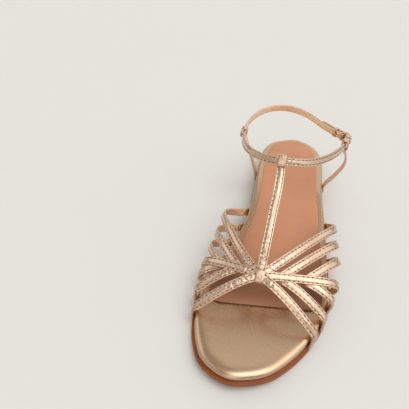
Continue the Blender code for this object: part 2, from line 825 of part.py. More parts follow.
def t_strap_meshes():
    """T-strap from the knot to the ankle ring, and the loop at its top."""
    point, along, normal, across = ring_frame(FRONT_DISTANCE)
    centre = point + normal * ANKLE_THICKNESS / 2.0
    half_across = ANKLE_WIDTH / 2.0 + LOOP_CLEARANCE
    half_out = ANKLE_THICKNESS / 2.0 + T_LOOP_CLEARANCE
    loop = loop_mesh(centre, along, across, normal, half_across, half_out, T_LOOP_WIDTH, LOOP_WALL)
    points = []
    normals = []
    for station in T_STRAP_STATIONS:
        facing = crown_normal(station)
        points.append(crown_point(station) + facing * T_STRAP_LIFT)
        normals.append(facing)
    below_loop = half_across + LOOP_WALL * LOOP_JOIN
    points.append(centre - across * below_loop - normal * STRAP_THICKNESS / 2.0)
    normals.append(normal)
    strap = strap_mesh(np.array(points), np.array(normals), T_STRAP_WIDTH, STRAP_THICKNESS, STRAP_STEP)
    return strap, loop


def buckle_frame_mesh():
    """Rounded wire frame, tilted so that its front bar lies over the strap."""
    lean = math.atan2(FRONT_BAR_OFFSET - BAR_OFFSET, BUCKLE_LENGTH)
    half = (BUCKLE_INNER_HEIGHT + BUCKLE_WIRE) / 2.0
    middle = BUCKLE_LENGTH / 2.0 / math.cos(lean)
    points = []
    for a, b in racetrack(middle, half, BUCKLE_CORNER):
        forwards = a + middle
        points.append(in_buckle(forwards * math.cos(lean), forwards * math.sin(lean), b))
    _, axes = buckle_axes()
    flat = math.cos(lean) * axes[1] - math.sin(lean) * axes[0]
    return tube_mesh(points, BUCKLE_WIRE / 2.0, WIRE_SIDES, flat)


def buckle_prong_mesh():
    """Prong rolled round the rear bar, its tip over the front bar."""
    _, axes = buckle_axes()
    points = []
    normals = []
    for turn in np.linspace(PRONG_ROLL, 90.0, PRONG_ROLL_STEPS):
        angle = math.radians(turn)
        forwards = math.cos(angle)
        outwards = math.sin(angle)
        points.append(in_buckle(EYE_INNER_RADIUS * forwards, EYE_INNER_RADIUS * outwards, 0.0))
        normals.append(forwards * axes[0] + outwards * axes[1])
    tip_out = FRONT_BAR_OFFSET - BAR_OFFSET + BUCKLE_WIRE / 2.0 + GAP
    for share in PRONG_REACH_SHARES:
        outwards = EYE_INNER_RADIUS * (1.0 - share) + tip_out * share
        points.append(in_buckle(BUCKLE_LENGTH * share, outwards, 0.0))
        normals.append(axes[1])
    bm = bmesh.new()
    add_rings(bm, sweep_rings(np.array(points), np.array(normals), PRONG_WIDTH, PRONG_THICKNESS))
    return bm


def buckle_keeper_mesh():
    """Leather loop round the strap and its free end, behind the buckle."""
    point, along, normal, across = ring_frame(EYE_DISTANCE + KEEPER_DISTANCE)
    depth = FREE_END_OFFSET + ANKLE_THICKNESS
    centre = point + normal * depth / 2.0
    return loop_mesh(centre, along, across, normal, ANKLE_WIDTH / 2.0 + LOOP_CLEARANCE,
                     depth / 2.0 + LOOP_CLEARANCE, KEEPER_WIDTH, KEEPER_WALL)


def make_material(name):
    """Plain material in one of the named colours."""
    colour, roughness, metallic = COLOURS[name]
    material = bpy.data.materials.new(name)
    material.use_nodes = True
    shader = material.node_tree.nodes["Principled BSDF"]
    shader.inputs["Base Color"].default_value = (*colour, 1.0)
    shader.inputs["Roughness"].default_value = roughness
    shader.inputs["Metallic"].default_value = metallic
    return material


def sole_pieces(materials, root):
    """Heel block, outsole, footbed and sock."""
    tan = materials["tan leather"]
    gold = materials["champagne metallic leather"]
    breast = {LATERAL: HEEL_BREAST, MEDIAL: HEEL_BREAST}
    heel = sole_solid([
        (HEEL_INSET + OUTSOLE_CHAMFER, lambda s: 0.0),
        (HEEL_INSET, lambda s: OUTSOLE_CHAMFER),
        (HEEL_INSET, lambda s: HEEL_HEIGHT),
    ], breast)
    outsole = sole_solid([
        (OUTSOLE_CHAMFER, outsole_bottom),
        (0.0, lambda s: outsole_bottom(s) + OUTSOLE_CHAMFER),
        (0.0, lambda s: ledge_height(s) - OUTSOLE_CHAMFER),
        (OUTSOLE_CHAMFER, ledge_height),
    ])
    levels = [
        (LEDGE + FOOTBED_LOWER_CHAMFER, footbed_bottom),
        (LEDGE, lambda s: footbed_bottom(s) + FOOTBED_LOWER_CHAMFER),
    ]
    for turn in EDGE_TURNS:
        inwards = 1.0 - math.cos(math.radians(turn))
        below = 1.0 - math.sin(math.radians(turn))
        levels.append((lambda s, share=inwards: LEDGE + share * footbed_radius(s),
                       lambda s, share=below: footbed_top(s) - share * footbed_radius(s)))
    footbed = sole_solid(levels)
    front = {LATERAL: SOCK_FRONT_LATERAL, MEDIAL: SOCK_FRONT_MEDIAL}
    sock = sole_solid([
        (sock_margin, lambda s: footbed_top(s) + GAP),
        (sock_margin, lambda s: footbed_top(s) + GAP + SOCK_THICKNESS),
    ], front)
    finish_object("heel_block", heel, tan, root)
    finish_object("outsole", outsole, tan, root)
    finish_object("footbed", footbed, gold, root)
    finish_object("sock_lining", sock, materials["pink-tan leather"], root)


def strap_pieces(materials, root):
    """Upper, ankle strap and stays."""
    gold = materials["champagne metallic leather"]
    upper = finish_object("upper_straps", spine_strap(), gold, root)
    joined = [vamp_strap(*row) for row in VAMP_STRAPS]
    joined.append(knot_band())
    joined.extend(t_strap_meshes())
    combine("upper_straps", upper, joined, 'UNION', gold, root)
    strap, eye = ankle_strap_meshes()
    ankle = finish_object("ankle_strap", strap, gold, root)
    combine("ankle_strap", ankle, [eye], 'UNION', gold, root)
    combine("ankle_strap", ankle, [prong_room()], 'DIFFERENCE', gold, root)
    for name, side in (("stay_medial", MEDIAL), ("stay_lateral", LATERAL)):
        loop, upright = stay_mesh(side)
        stay = finish_object(name, loop, gold, root)
        combine(name, stay, [upright], 'UNION', gold, root)


def buckle_pieces(materials, root):
    """Frame, prong and leather keeper."""
    metal = materials["polished light-gold metal"]
    finish_object("buckle_frame", buckle_frame_mesh(), metal, root)
    finish_object("buckle_prong", buckle_prong_mesh(), metal, root)
    finish_object("buckle_keeper", buckle_keeper_mesh(), materials["champagne metallic leather"], root)


def centre_on_box(root):
    """Move the root so that the shoe's box is centred over the origin."""
    graph = bpy.context.evaluated_depsgraph_get()
    low = np.full(3, np.inf)
    high = np.full(3, -np.inf)
    for thing in bpy.data.objects:
        if thing.type == 'MESH' and not thing.hide_render:
            mesh = thing.evaluated_get(graph).to_mesh()
            points = np.array([vert.co for vert in mesh.vertices])
            low = np.minimum(low, points.min(axis=0))
            high = np.maximum(high, points.max(axis=0))
    root.location = (-(low[0] + high[0]) / 2.0, -(low[1] + high[1]) / 2.0, 0.0)


def main():
    """Build the sandal."""
    for thing in list(bpy.data.objects):
        bpy.data.objects.remove(thing, do_unlink=True)
    root = bpy.data.objects.new("sandal_frame", None)
    bpy.context.scene.collection.objects.link(root)
    materials = {name: make_material(name) for name in COLOURS}
    sole_pieces(materials, root)
    strap_pieces(materials, root)
    buckle_pieces(materials, root)
    centre_on_box(root)


main()
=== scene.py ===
"""Looks of a left strappy flat sandal in champagne metallic leather.

Laid out as an add-on and run as a script. Shapes are worked out in millimetres in the shoe's own
frame: a station is the distance from the back of the heel, the toe points to -Y, the outer
(lateral) side of the foot is +X, the inner (medial) side is -X, and the floor is z = 0. A finished
mesh is in metres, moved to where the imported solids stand.
"""
import math

import bmesh
import bpy
import numpy as np
from bpy.props import FloatProperty, FloatVectorProperty, PointerProperty
from mathutils import Matrix, Vector


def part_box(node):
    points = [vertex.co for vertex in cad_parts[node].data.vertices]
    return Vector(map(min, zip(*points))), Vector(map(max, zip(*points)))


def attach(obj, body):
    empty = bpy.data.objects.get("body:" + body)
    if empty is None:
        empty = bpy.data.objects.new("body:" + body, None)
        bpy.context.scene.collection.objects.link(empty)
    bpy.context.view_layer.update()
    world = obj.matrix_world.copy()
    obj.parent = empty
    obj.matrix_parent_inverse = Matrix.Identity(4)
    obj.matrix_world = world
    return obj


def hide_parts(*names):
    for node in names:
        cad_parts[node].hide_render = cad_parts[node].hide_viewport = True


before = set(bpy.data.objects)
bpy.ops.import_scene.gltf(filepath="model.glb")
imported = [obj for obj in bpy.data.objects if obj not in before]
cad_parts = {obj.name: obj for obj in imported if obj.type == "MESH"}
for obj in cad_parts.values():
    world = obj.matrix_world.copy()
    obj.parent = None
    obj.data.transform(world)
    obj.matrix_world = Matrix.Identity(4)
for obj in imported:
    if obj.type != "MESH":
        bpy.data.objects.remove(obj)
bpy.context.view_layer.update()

bl_info = {
    "name": "Strappy Sandal",
    "version": (1, 0, 0),
    "blender": (4, 5, 0),
    "location": "View3D > Sidebar > Sandal",
    "description": "Dresses the packed solids of a flat strappy sandal",
    "category": "Add Mesh",
}

MM = 0.001
UP = np.array([0.0, 0.0, 1.0])
SIDEWAYS = np.array([1.0, 0.0, 0.0])
LATERAL = 1.0
MEDIAL = -1.0
BODY = "root"

# Sole sizes, close to those of the solids
LENGTH = 250.0
HALF_LENGTH = LENGTH / 2.0
OUTSOLE_THICKNESS = 3.2
HEEL_BREAST = 70.0
HEEL_HEIGHT = 6.0
HEEL_INSET = 0.5
HEEL_RISE = 6.3
FLAT_START = 165.0
FLAT_END = 205.0
TOE_SPRING = 4.6
LEDGE = 2.0
WAIST_LEDGE = 0.9
LEDGE_TAPER_START = 118.0
LEDGE_TAPER_END = 172.0
FOOTBED_TOE_THICKNESS = 5.8
FOOTBED_HEEL_THICKNESS = 8.5
FOOTBED_EDGE_RADIUS = 3.0
FOOTBED_TOE_RADIUS = 4.2
FOOTBED_TOE_REACH = 9.0
FOOTBED_EDGE_POWER = 2.6
TOE_RADIUS_STATION = 232.0
SOCK_WAIST_MARGIN = 6.4
SOCK_BALL_MARGIN = {LATERAL: 5.0, MEDIAL: 7.5}
SOCK_TAPER_START = 120.0
SOCK_TAPER_END = 175.0
SOCK_FRONT = {LATERAL: 189.0, MEDIAL: 198.0}
SOLE_STEPS = 90
ACROSS_STEPS = 14
EDGE_TURNS = 13

# Edges of the sole's layers, lowest first: inset, then height over the layer's foot, or under its
# top where negative
OUTSOLE_FOOT = ((0.9, 0.0), (0.35, 0.18), (0.06, 0.7))
OUTSOLE_TOP = ((0.0, -1.6), (0.06, -0.7), (0.35, -0.18), (0.75, 0.0))
LEDGE_TOP = ((1.5, 0.0), (LEDGE + 1.0, 0.0))
HEEL_EDGE = ((0.6, 0.0), (0.2, 0.15), (0.0, 0.6), (0.0, HEEL_HEIGHT))
FOOTBED_FOOT = ((0.5, 0.03), (0.12, 0.2), (0.0, 0.7))
SOCK_FOOT = ((0.0, 0.02),)
SOCK_TOP = ((0.0, -0.4), (0.12, -0.12), (0.45, 0.0))

# Insets between which a line runs along the ledge
LINE_INSETS = (1.0, 1.25)

# Outline of the outsole: station, lateral reach, medial reach
OUTLINE = (
    (0.0, 0.0, 0.0),
    (4.0, 12.0, 12.0),
    (12.0, 21.0, 22.3),
    (28.0, 27.6, 27.8),
    (48.0, 30.2, 28.0),
    (75.0, 32.2, 25.8),
    (100.0, 36.0, 24.2),
    (122.0, 39.8, 25.4),
    (145.0, 43.4, 31.0),
    (165.0, 45.6, 37.4),
    (182.0, 45.8, 40.8),
    (200.0, 42.2, 41.2),
    (216.0, 35.0, 38.4),
    (230.0, 26.0, 33.4),
    (240.0, 17.2, 27.4),
    (247.0, 5.4, 17.6),
    (LENGTH, -6.0, 6.0),
)

# Sections of the last under the vamp: station, lateral reach, medial reach, height of the
# widest line, height of the crown
LAST_SECTIONS = (
    (110.0, 41.0, 36.5, 27.0, 72.0),
    (125.0, 42.5, 38.0, 25.0, 66.0),
    (137.0, 45.0, 39.0, 22.0, 59.5),
    (149.0, 47.2, 39.8, 19.0, 52.5),
    (159.0, 48.4, 41.0, 17.0, 46.5),
    (170.0, 48.4, 42.2, 14.0, 40.0),
    (180.0, 46.6, 42.5, 11.5, 34.0),
    (187.0, 44.6, 42.2, 10.5, 30.0),
    (196.0, 41.8, 41.3, 10.0, 25.0),
    (210.0, 37.0, 38.8, 9.5, 20.0),
)

# Columns of these sections
REACH_COLUMN = {LATERAL: 1, MEDIAL: 2}
WIDEST_COLUMN = 3
CROWN_COLUMN = 4

# Bow of the vamp straps, as shares of their length outwards and upwards
BACK_BOW = {LATERAL: (0.02, 0.03), MEDIAL: (0.065, 0.0)}
FRONT_BOW = {LATERAL: (0.0, 0.1), MEDIAL: (0.0, 0.1)}
SPINE_BOW = {LATERAL: (0.0, 0.02), MEDIAL: (0.0, 0.06)}

# How the vamp straps lie
TURN_SHARE = 0.4
TURN_HEIGHT = {LATERAL: 3.5, MEDIAL: 1.0}
KNOT_STATION = 186.5
SPINE_STAGGER = 2.5
SPINE_TUCK = 3.0
SPINE_WIDEST = {LATERAL: 168.0, MEDIAL: 171.0}
SPINE_ANCHOR = {LATERAL: 165.5, MEDIAL: 168.5}
SPINE_LIFT = 1.6
SPINE_DROP = 0.5
WALL_REACH = 0.6
WALL_GAP = 0.3
TUCK_REACH = 0.5
TUCK_DROP = 0.6
TUCK_LEAN = 0.8
FOOT_SLANT = 1.1
SEAT_REACH = 9.0
FACE_UPRIGHT = 1.8
FOOT_POINTS = 4
VAMP_SHARES = (0.0, 0.25, 0.5, 0.75, 0.92)
SPINE_SHARES = (0.0, 0.15, 0.35, 0.6, 0.9)

# Vamp straps: side, share of the spine from the knot to the side where the strap starts,
# station of the widest point, station at the sole
VAMP_STRAPS = (
    (LATERAL, 0.0, 124.0, 105.0),
    (LATERAL, 0.31, 136.5, 124.5),
    (LATERAL, 0.64, 149.0, 139.5),
    (LATERAL, 0.0, 207.0, 210.0),
    (LATERAL, 0.31, 193.0, 195.0),
    (LATERAL, 0.64, 180.0, 180.5),
    (MEDIAL, 0.0, 128.5, 104.0),
    (MEDIAL, 0.42, 143.5, 121.0),
    (MEDIAL, 0.72, 157.0, 137.0),
    (MEDIAL, 0.0, 208.0, 208.5),
    (MEDIAL, 0.44, 195.0, 198.0),
    (MEDIAL, 0.74, 180.5, 182.5),
)

# Knot band over the crossing, and the T-strap
BAND_WIDTH = 5.4
BAND_LENGTH = 9.5
BAND_HEIGHT = 4.6
BAND_WALL = 1.0
T_STRAP_LIFT = 1.2
T_STRAP_X = -1.2
T_STRAP_STATIONS = (KNOT_STATION, 170.0, 150.0, 130.0)
T_LOOP_WIDTH = 5.9
T_LOOP_CLEARANCE = 0.9

# Ring of the ankle strap, from the buckle round the back: x, station, height, tilt of its face
ANKLE_RING = (
    (38.6, 53.5, 58.6, 3.0),
    (31.5, 45.3, 57.2, 3.0),
    (21.7, 36.3, 56.6, 3.0),
    (10.7, 26.6, 57.6, 3.0),
    (-0.3, 21.6, 58.9, 3.0),
    (-12.0, 20.9, 59.8, 3.0),
    (-23.9, 26.8, 60.3, 3.0),
    (-32.0, 37.8, 60.5, 5.0),
    (-36.7, 53.0, 60.5, 8.0),
    (-37.5, 69.0, 60.8, 12.0),
    (-35.3, 82.0, 62.0, 18.0),
    (-29.5, 96.5, 64.4, 25.0),
    (-19.7, 108.3, 67.8, 31.0),
    (-11.5, 115.0, 70.8, 35.0),
    (-1.5, 117.4, 72.6, 36.0),
    (9.5, 113.2, 70.6, 35.0),
    (18.5, 105.2, 67.2, 31.0),
    (26.7, 93.7, 64.0, 24.0),
    (35.3, 77.5, 61.3, 14.0),
    (39.6, 63.5, 59.6, 6.0),
)
RING_STEP = 0.5
RING_SIDE_REACH = 15.0
LOOP_CLEARANCE = 0.6
LOOP_WALL = 1.2
LOOP_JOIN = 0.8
LOOP_CORNER = 1.5
T_LOOP_CORNER = 1.8
LOOP_CORNER_STEPS = 6

# Stays at the heel quarters
STAY_WIDTH = 5.0
STAY_STATION = {LATERAL: 62.0, MEDIAL: 60.5}
STAY_LOOP_STATION = {LATERAL: 64.5, MEDIAL: 69.0}

# Points of each stay between the sole and its loop: x, station, height
STAY_BENDS = {
    LATERAL: ((37.5, 62.0, 28.0), (42.8, 62.5, 42.0), (41.6, 63.5, 51.0)),
    MEDIAL: ((-29.5, 62.5, 29.0), (-33.4, 65.5, 44.0), (-36.0, 68.0, 54.0)),
}

# Buckle, measured from its rear bar along the strap towards the toe
BUCKLE_STATION = 51.0
BUCKLE_LENGTH = 7.6
BUCKLE_INNER_HEIGHT = 7.0
BUCKLE_CORNER = 2.0
BUCKLE_GAP = 0.3
EYE_WALL = 1.0
OVER_EYE_GAP = 1.3 * BUCKLE_GAP
FREE_END_LENGTH = 27.0
FREE_END_GAP = 0.5
WIRE_POINTS = 16
PRONG_WIDTH = 1.3
PRONG_THICKNESS = 0.9
PRONG_ROLL = 300.0
PRONG_ROLL_STEPS = 24
PRONG_SLOT = 1.9
KEEPER_DISTANCE = 8.0
KEEPER_WIDTH = 3.2
KEEPER_WALL = 0.8
KEEPER_CLEARANCE = 0.25
STRAP_RISE_START = -6.6
STRAP_SETTLE_START = 2.0
STRAP_SETTLE_END = 5.5
TIP_LENGTH = 5.0
TIP_CUT = 0.97

# Straight part of the prong: shares of the buckle's length where it starts and ends, its steps, and
# its width at the last of them
PRONG_REACH = (0.08, 1.08)
PRONG_STEPS = 12
PRONG_TAPER = (0.95, 0.85, 0.7, 0.45)

# Lengths without stitches at a strap's foot and at the buckle's eye
FOOT_BARE = 3.0
EYE_BARE = 10.0

# Depth of a needle hole and height of a thread, as shares of the thread's thickness
HOLE_DEPTH = 0.7
THREAD_HEIGHT = 0.6

# Mesh fineness
STRAP_STEP = 0.65
SECTION_POINTS = 48
CURVE_SAMPLES = 12
LOOP_SAMPLES = 16
BEAD_SEGMENTS = 8
BEAD_RINGS = 5
WELD = 0.0005

# Distance over which a direction is measured, the distance that a turn of a strap's face by one
# radian counts as, and how many of its own widths a rounding looks to each side
NUDGE = 1.0
TURN_WEIGHT = 10.0
ROUNDING_WIDTHS = 3.0

# Strap section: powers of its edges, face and back, where a lower one is flatter; height of its edges
# as a share of its thickness; where the back starts; half width of the groove under a stitch row
EDGE_FLATNESS = 0.6
FACE_FLATNESS = 0.5
BACK_FLATNESS = 0.3
EDGE_HEIGHT = 0.45
BACK_START = -0.1
GROOVE_REACH = 0.4

# Bends of the straps: rounding of the path, length over which it is drawn out to the widest point,
# length of a bend, length over which a strap twists before it, and how much a strap runs back when
# it twists fully
FRONT_ROUNDING = 2.5
BACK_ROUNDING = 7.0
PULL_LENGTH = 15.0
BEND_LENGTH = 7.0
TWIST_LENGTH = 24.0
BEND_BACKWARDS = 0.35

# How strongly the straps are creased and their foil crinkled near the knot, and the distances from
# the knot and from the ankle loop over which that fades
CRINKLE_SHARE = {LATERAL: 0.4, MEDIAL: 1.0}
KNOT_FADE = (6.0, 34.0)
ANKLE_FADE = (5.0, 18.0)

# Creases across a strap: distance from the knot or from the ankle loop, how far a crease runs along
# per width, depth, half width
CREASES = (
    (6.5, 0.4, 0.2, 1.0),
    (9.6, -0.6, 0.17, 1.1),
    (13.0, 0.8, 0.2, 1.2),
    (17.0, -0.4, 0.15, 1.1),
    (21.5, 0.6, 0.15, 1.3),
    (26.0, -0.7, 0.14, 1.3),
)


def linear(hex_colour):
    """Turn an sRGB hex colour into linear red, green and blue."""
    channels = [int(hex_colour[place:place + 2], 16) / 255.0 for place in (1, 3, 5)]
    return tuple(c / 12.92 if c <= 0.04045 else ((c + 0.055) / 1.055) ** 2.4 for c in channels)


def colour_property(name, description, hex_colour):
    """Colour that a user may change, given as sRGB hex."""
    return FloatVectorProperty(name=name, description=description, subtype='COLOR', size=3,
                               min=0.0, max=1.0, default=linear(hex_colour))


def length_property(name, description, millimetres):
    """Length that a user may change, given in millimetres."""
    return FloatProperty(name=name, description=description, unit='LENGTH', precision=5,
                         min=0.0, default=millimetres * MM)


class SandalStraps(bpy.types.PropertyGroup):
    """Sizes of the straps and their stitches."""

    width: length_property("Width", "Width of a vamp strap", 6.0)
    ankle_width: length_property("Ankle width", "Width of the ankle strap", 5.6)
    thickness: length_property("Thickness", "Thickness of a folded strap at its crown", 1.8)
    groove: length_property("Groove", "Depth of the groove under a stitch row", 0.28)
    stitch_pitch: length_property("Stitch pitch", "Distance between needle holes", 3.3)
    stitch_inset: length_property("Stitch inset", "Distance of a stitch row from the edge", 1.2)
    stitch_length: length_property("Stitch length", "Length of thread between two holes", 2.5)
    stitch_width: length_property("Stitch width", "Thickness of the thread", 0.36)
    hole_length: length_property("Hole length", "Length of a needle hole", 1.35)
    hole_width: length_property("Hole width", "Width of a needle hole", 1.1)


class SandalSole(bpy.types.PropertyGroup):
    """Sizes of the sole's finish."""

    sock_thickness: length_property("Sock thickness", "Thickness of the sock lining", 1.25)
    sock_corner: length_property("Sock corner", "Radius of the sock's front corners", 9.0)
    ledge_groove: length_property("Ledge groove", "Depth of the line along the ledge", 0.2)


class SandalBuckle(bpy.types.PropertyGroup):
    """Sizes of the buckle."""

    wire: length_property("Wire", "Thickness of the buckle's frame", 1.5)


class SandalColours(bpy.types.PropertyGroup):
    """Colours of the finishes."""

    foil: colour_property("Foil", "Champagne foil on the straps", "#D2B498")
    foil_deep: colour_property("Foil shade", "Foil where it is rubbed or creased", "#C09676")
    lining: colour_property("Strap lining", "Back of the straps", "#F4D2B0")
    footbed: colour_property("Footbed", "Foil leather round the footbed", "#C6A98E")
    sock: colour_property("Sock", "Matte sock leather", "#C48A69")
    sole: colour_property("Sole", "Tan sole leather", "#A25522")
    sole_edge: colour_property("Sole edge", "Burnished edge of the sole", "#6E3613")
    thread: colour_property("Thread", "Stitches", "#BFA283")
    # The needle holes' colour is raw leather darkened to paint the shade inside each hole.
    hole: colour_property("Needle holes", "Raw leather in the needle holes", "#2C1C0E")
    metal: colour_property("Buckle", "Light-gold plate", "#EAD9B0")
    floor: colour_property("Floor", "Plain studio floor", "#DADBDB")


def strength_property(name, description, strength):
    """Strength of a light that a user may change."""
    return FloatProperty(name=name, description=description, min=0.0, default=strength)


def angle_property(name, description, degrees):
    """Angle that a user may change, given in degrees."""
    return FloatProperty(name=name, description=description, subtype='ANGLE',
                         default=math.radians(degrees))


class SandalStage(bpy.types.PropertyGroup):
    """Studio light."""

    key: strength_property("Key", "Strength of the soft key light", 0.35)
    key_spread: angle_property("Key spread", "Angle that the key light fills", 30.0)
    room: strength_property("Room", "Light from all sides", 0.39)
    softbox: strength_property("Softbox", "Patch of light overhead", 1.2)
    window: strength_property("Window", "Patch of light on the right", 0.85)
    front: strength_property("Front", "Patch of light behind the viewer", 0.9)
    backdrop: strength_property("Backdrop", "Pale wall behind the shoe", 0.65)
    side: strength_property("Side", "Small patch of light on the left, behind the shoe", 0.8)
    left: strength_property("Left", "Small patch of light on the left, in front of the shoe", 0.4)


class SandalSettings(bpy.types.PropertyGroup):
    """All settings of the sandal."""

    straps: PointerProperty(type=SandalStraps)
    sole: PointerProperty(type=SandalSole)
    buckle: PointerProperty(type=SandalBuckle)
    colours: PointerProperty(type=SandalColours)
    stage: PointerProperty(type=SandalStage)


def settings():
    """Settings of the current scene."""
    return bpy.context.scene.sandal


# Curves
def smoothstep(value, start, end):
    """Rise smoothly from 0 at start to 1 at end."""
    part = np.clip((value - start) / (end - start), 0.0, 1.0)
    return part * part * (3.0 - 2.0 * part)


def blend(first, second, value, start, end):
    """Go smoothly from the first number at start to the second at end."""
    return first + (second - first) * smoothstep(value, start, end)


def unit(vector):
    """Return a vector, or each row of an array, at length one."""
    return vector / np.linalg.norm(vector, axis=-1, keepdims=True)


def smooth_curve(points, closed=False):
    """Return a dense smooth curve through the points, with tangents weighted by the spacing."""
    points = np.asarray(points, float)
    samples = LOOP_SAMPLES if closed else CURVE_SAMPLES
    if closed:
        points = np.vstack([points, points[:1]])
    spans = np.linalg.norm(np.diff(points, axis=0), axis=1)
    slopes = np.diff(points, axis=0) / spans[:, None]
    before = np.vstack([slopes[-1:] if closed else slopes[:1], slopes])
    after = np.vstack([slopes, slopes[:1] if closed else slopes[-1:]])
    before_span = np.concatenate([spans[-1:] if closed else spans[:1], spans])
    after_span = np.concatenate([spans, spans[:1] if closed else spans[-1:]])
    total = (before_span + after_span)[:, None]
    tangents = (before * after_span[:, None] + after * before_span[:, None]) / total
    curve = []
    for index, span in enumerate(spans):
        for t in np.linspace(0.0, 1.0, samples, endpoint=False):
            curve.append((2 * t**3 - 3 * t**2 + 1) * points[index]
                         + (t**3 - 2 * t**2 + t) * span * tangents[index]
                         + (3 * t**2 - 2 * t**3) * points[index + 1]
                         + (t**3 - t**2) * span * tangents[index + 1])
    curve.append(points[-1])
    return np.array(curve)


def arc_lengths(points):
    """Return the distance along a row of points."""
    return np.concatenate([[0.0], np.cumsum(np.linalg.norm(np.diff(points, axis=0), axis=1))])


def even_steps(points, extra, step):
    """Space points evenly along a curve, with the extra columns carried along."""
    lengths = arc_lengths(points)
    places = np.linspace(0.0, lengths[-1], max(3, int(round(lengths[-1] / step)) + 1))
    table = np.hstack([points, extra])
    spaced = np.column_stack([np.interp(places, lengths, column) for column in table.T])
    return spaced[:, :3], spaced[:, 3:]


def place(x, station, z):
    """Turn a station into a point of the shoe's frame."""
    return np.array([x, HALF_LENGTH - station, z])


# Heights along the sole
def outsole_bottom(station):
    """Arch rise to the heel, a flat spot under the ball, and toe spring."""
    rise = HEEL_RISE * smoothstep(station, FLAT_START, HEEL_BREAST)
    spring = np.clip((station - FLAT_END) / (LENGTH - FLAT_END), 0.0, 1.0)
    return rise + TOE_SPRING * spring**2


def ledge_height(station):
    """Top of the outsole."""
    return outsole_bottom(station) + OUTSOLE_THICKNESS


def ledge_width(station):
    """Width of the ledge round the footbed, narrow at the waist and heel."""
    return blend(WAIST_LEDGE, LEDGE, station, LEDGE_TAPER_START, LEDGE_TAPER_END)


def footbed_thickness(station):
    """Thin under the toes, thicker under the heel."""
    return blend(FOOTBED_TOE_THICKNESS, FOOTBED_HEEL_THICKNESS, station, FLAT_START, HEEL_BREAST)


def footbed_top(station):
    """Top of the footbed."""
    return ledge_height(station) + footbed_thickness(station)


def footbed_margin(_, station):
    """Distance of the footbed's wall from the outsole's edge, the same on both sides."""
    return ledge_width(station)


def sock_margin(side, station):
    """Distance of the sock's edge from the outsole's edge."""
    return blend(SOCK_WAIST_MARGIN, SOCK_BALL_MARGIN[side], station, SOCK_TAPER_START, SOCK_TAPER_END)


def ground(_):
    """Height of the floor, the same at every station."""
    return 0.0


def above(height, rise):
    """Height function that runs a rise over another."""
    return lambda station: height(station) + rise


def inside(margin, inset):
    """Margin function that runs an inset inside another."""
    return lambda side, station: margin(side, station) + inset


def footbed_edge(turn):
    """Margin and height functions of the footbed's edge at a turn from its wall to its top."""
    inwards = 1.0 - max(math.cos(turn), 0.0) ** (2.0 / FOOTBED_EDGE_POWER)
    below = 1.0 - math.sin(turn) ** (2.0 / FOOTBED_EDGE_POWER)

    def edge_size(at_toe, station):
        return blend(FOOTBED_EDGE_RADIUS, at_toe, station, FLAT_END, TOE_RADIUS_STATION)

    return (lambda _, station: ledge_width(station) + inwards * edge_size(FOOTBED_TOE_REACH, station),
            lambda station: footbed_top(station) - below * edge_size(FOOTBED_TOE_RADIUS, station))


# The outline and its offsets
def outline_curve():
    """Closed outline of the outsole: heel, lateral side, toe, medial side."""
    lateral = [(x, station) for station, x, _ in OUTLINE]
    medial = [(-x, station) for station, _, x in OUTLINE[-2:0:-1]]
    return smooth_curve(lateral + medial, closed=True)


def outline_normals(curve):
    """Outward directions in plan along the outline."""
    before = np.roll(curve[:-1], 1, axis=0)
    after = np.roll(curve[:-1], -1, axis=0)
    along = unit(after - before)
    normals = np.column_stack([along[:, 1], -along[:, 0]])
    return np.vstack([normals, normals[:1]])


OUTLINE_CURVE = outline_curve()
OUTLINE_NORMALS = outline_normals(OUTLINE_CURVE)
TOE_INDEX = int(np.argmax(OUTLINE_CURVE[:, 1]))
SHIFT = Vector((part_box("outsole")[0].x - OUTLINE_CURVE[:, 0].min() * MM,
                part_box("outsole")[0].y + HALF_LENGTH * MM, 0.0))
TO_FRAME = Matrix.Translation(SHIFT) @ Matrix.Scale(MM, 4)


def edge(side, margin):
    """One side of the outline moved in by the margin, as points (x, station) from heel to toe."""
    if callable(margin):
        margin = margin(side, OUTLINE_CURVE[:, 1])[:, None]
    moved = OUTLINE_CURVE - margin * OUTLINE_NORMALS
    if side == LATERAL:
        return moved[:TOE_INDEX + 1]
    return moved[TOE_INDEX:][::-1]


def edge_x(side, margin, station):
    """Reach of the moved outline at a station."""
    line = edge(side, margin)
    return np.interp(station, line[:, 1], line[:, 0])


def edge_normal(side, station):
    """Outward direction of the outline at a station."""
    line = edge(side, 0.0)
    normals = OUTLINE_NORMALS[:TOE_INDEX + 1]
    if side == MEDIAL:
        normals = OUTLINE_NORMALS[TOE_INDEX:][::-1]
    x = np.interp(station, line[:, 1], normals[:, 0])
    along = np.interp(station, line[:, 1], normals[:, 1])
    return unit(np.array([x, -along, 0.0]))


def side_line(side, margin, front, corner):
    """Points of one side at matching steps, to the toe or to a front with a rounded corner."""
    line = edge(side, margin)
    last = line[-1, 1] if front is None else front[side]
    share = (1.0 - np.cos(np.linspace(0.0, math.pi, SOLE_STEPS + 1))) / 2.0
    station = line[0, 1] + (last - line[0, 1]) * share
    x = np.interp(station, line[:, 1], line[:, 0])
    if corner > 0.0:
        into = np.clip(station - (last - corner), 0.0, corner)
        x = x - side * (corner - np.sqrt(corner**2 - into**2))
    return np.column_stack([x, station])


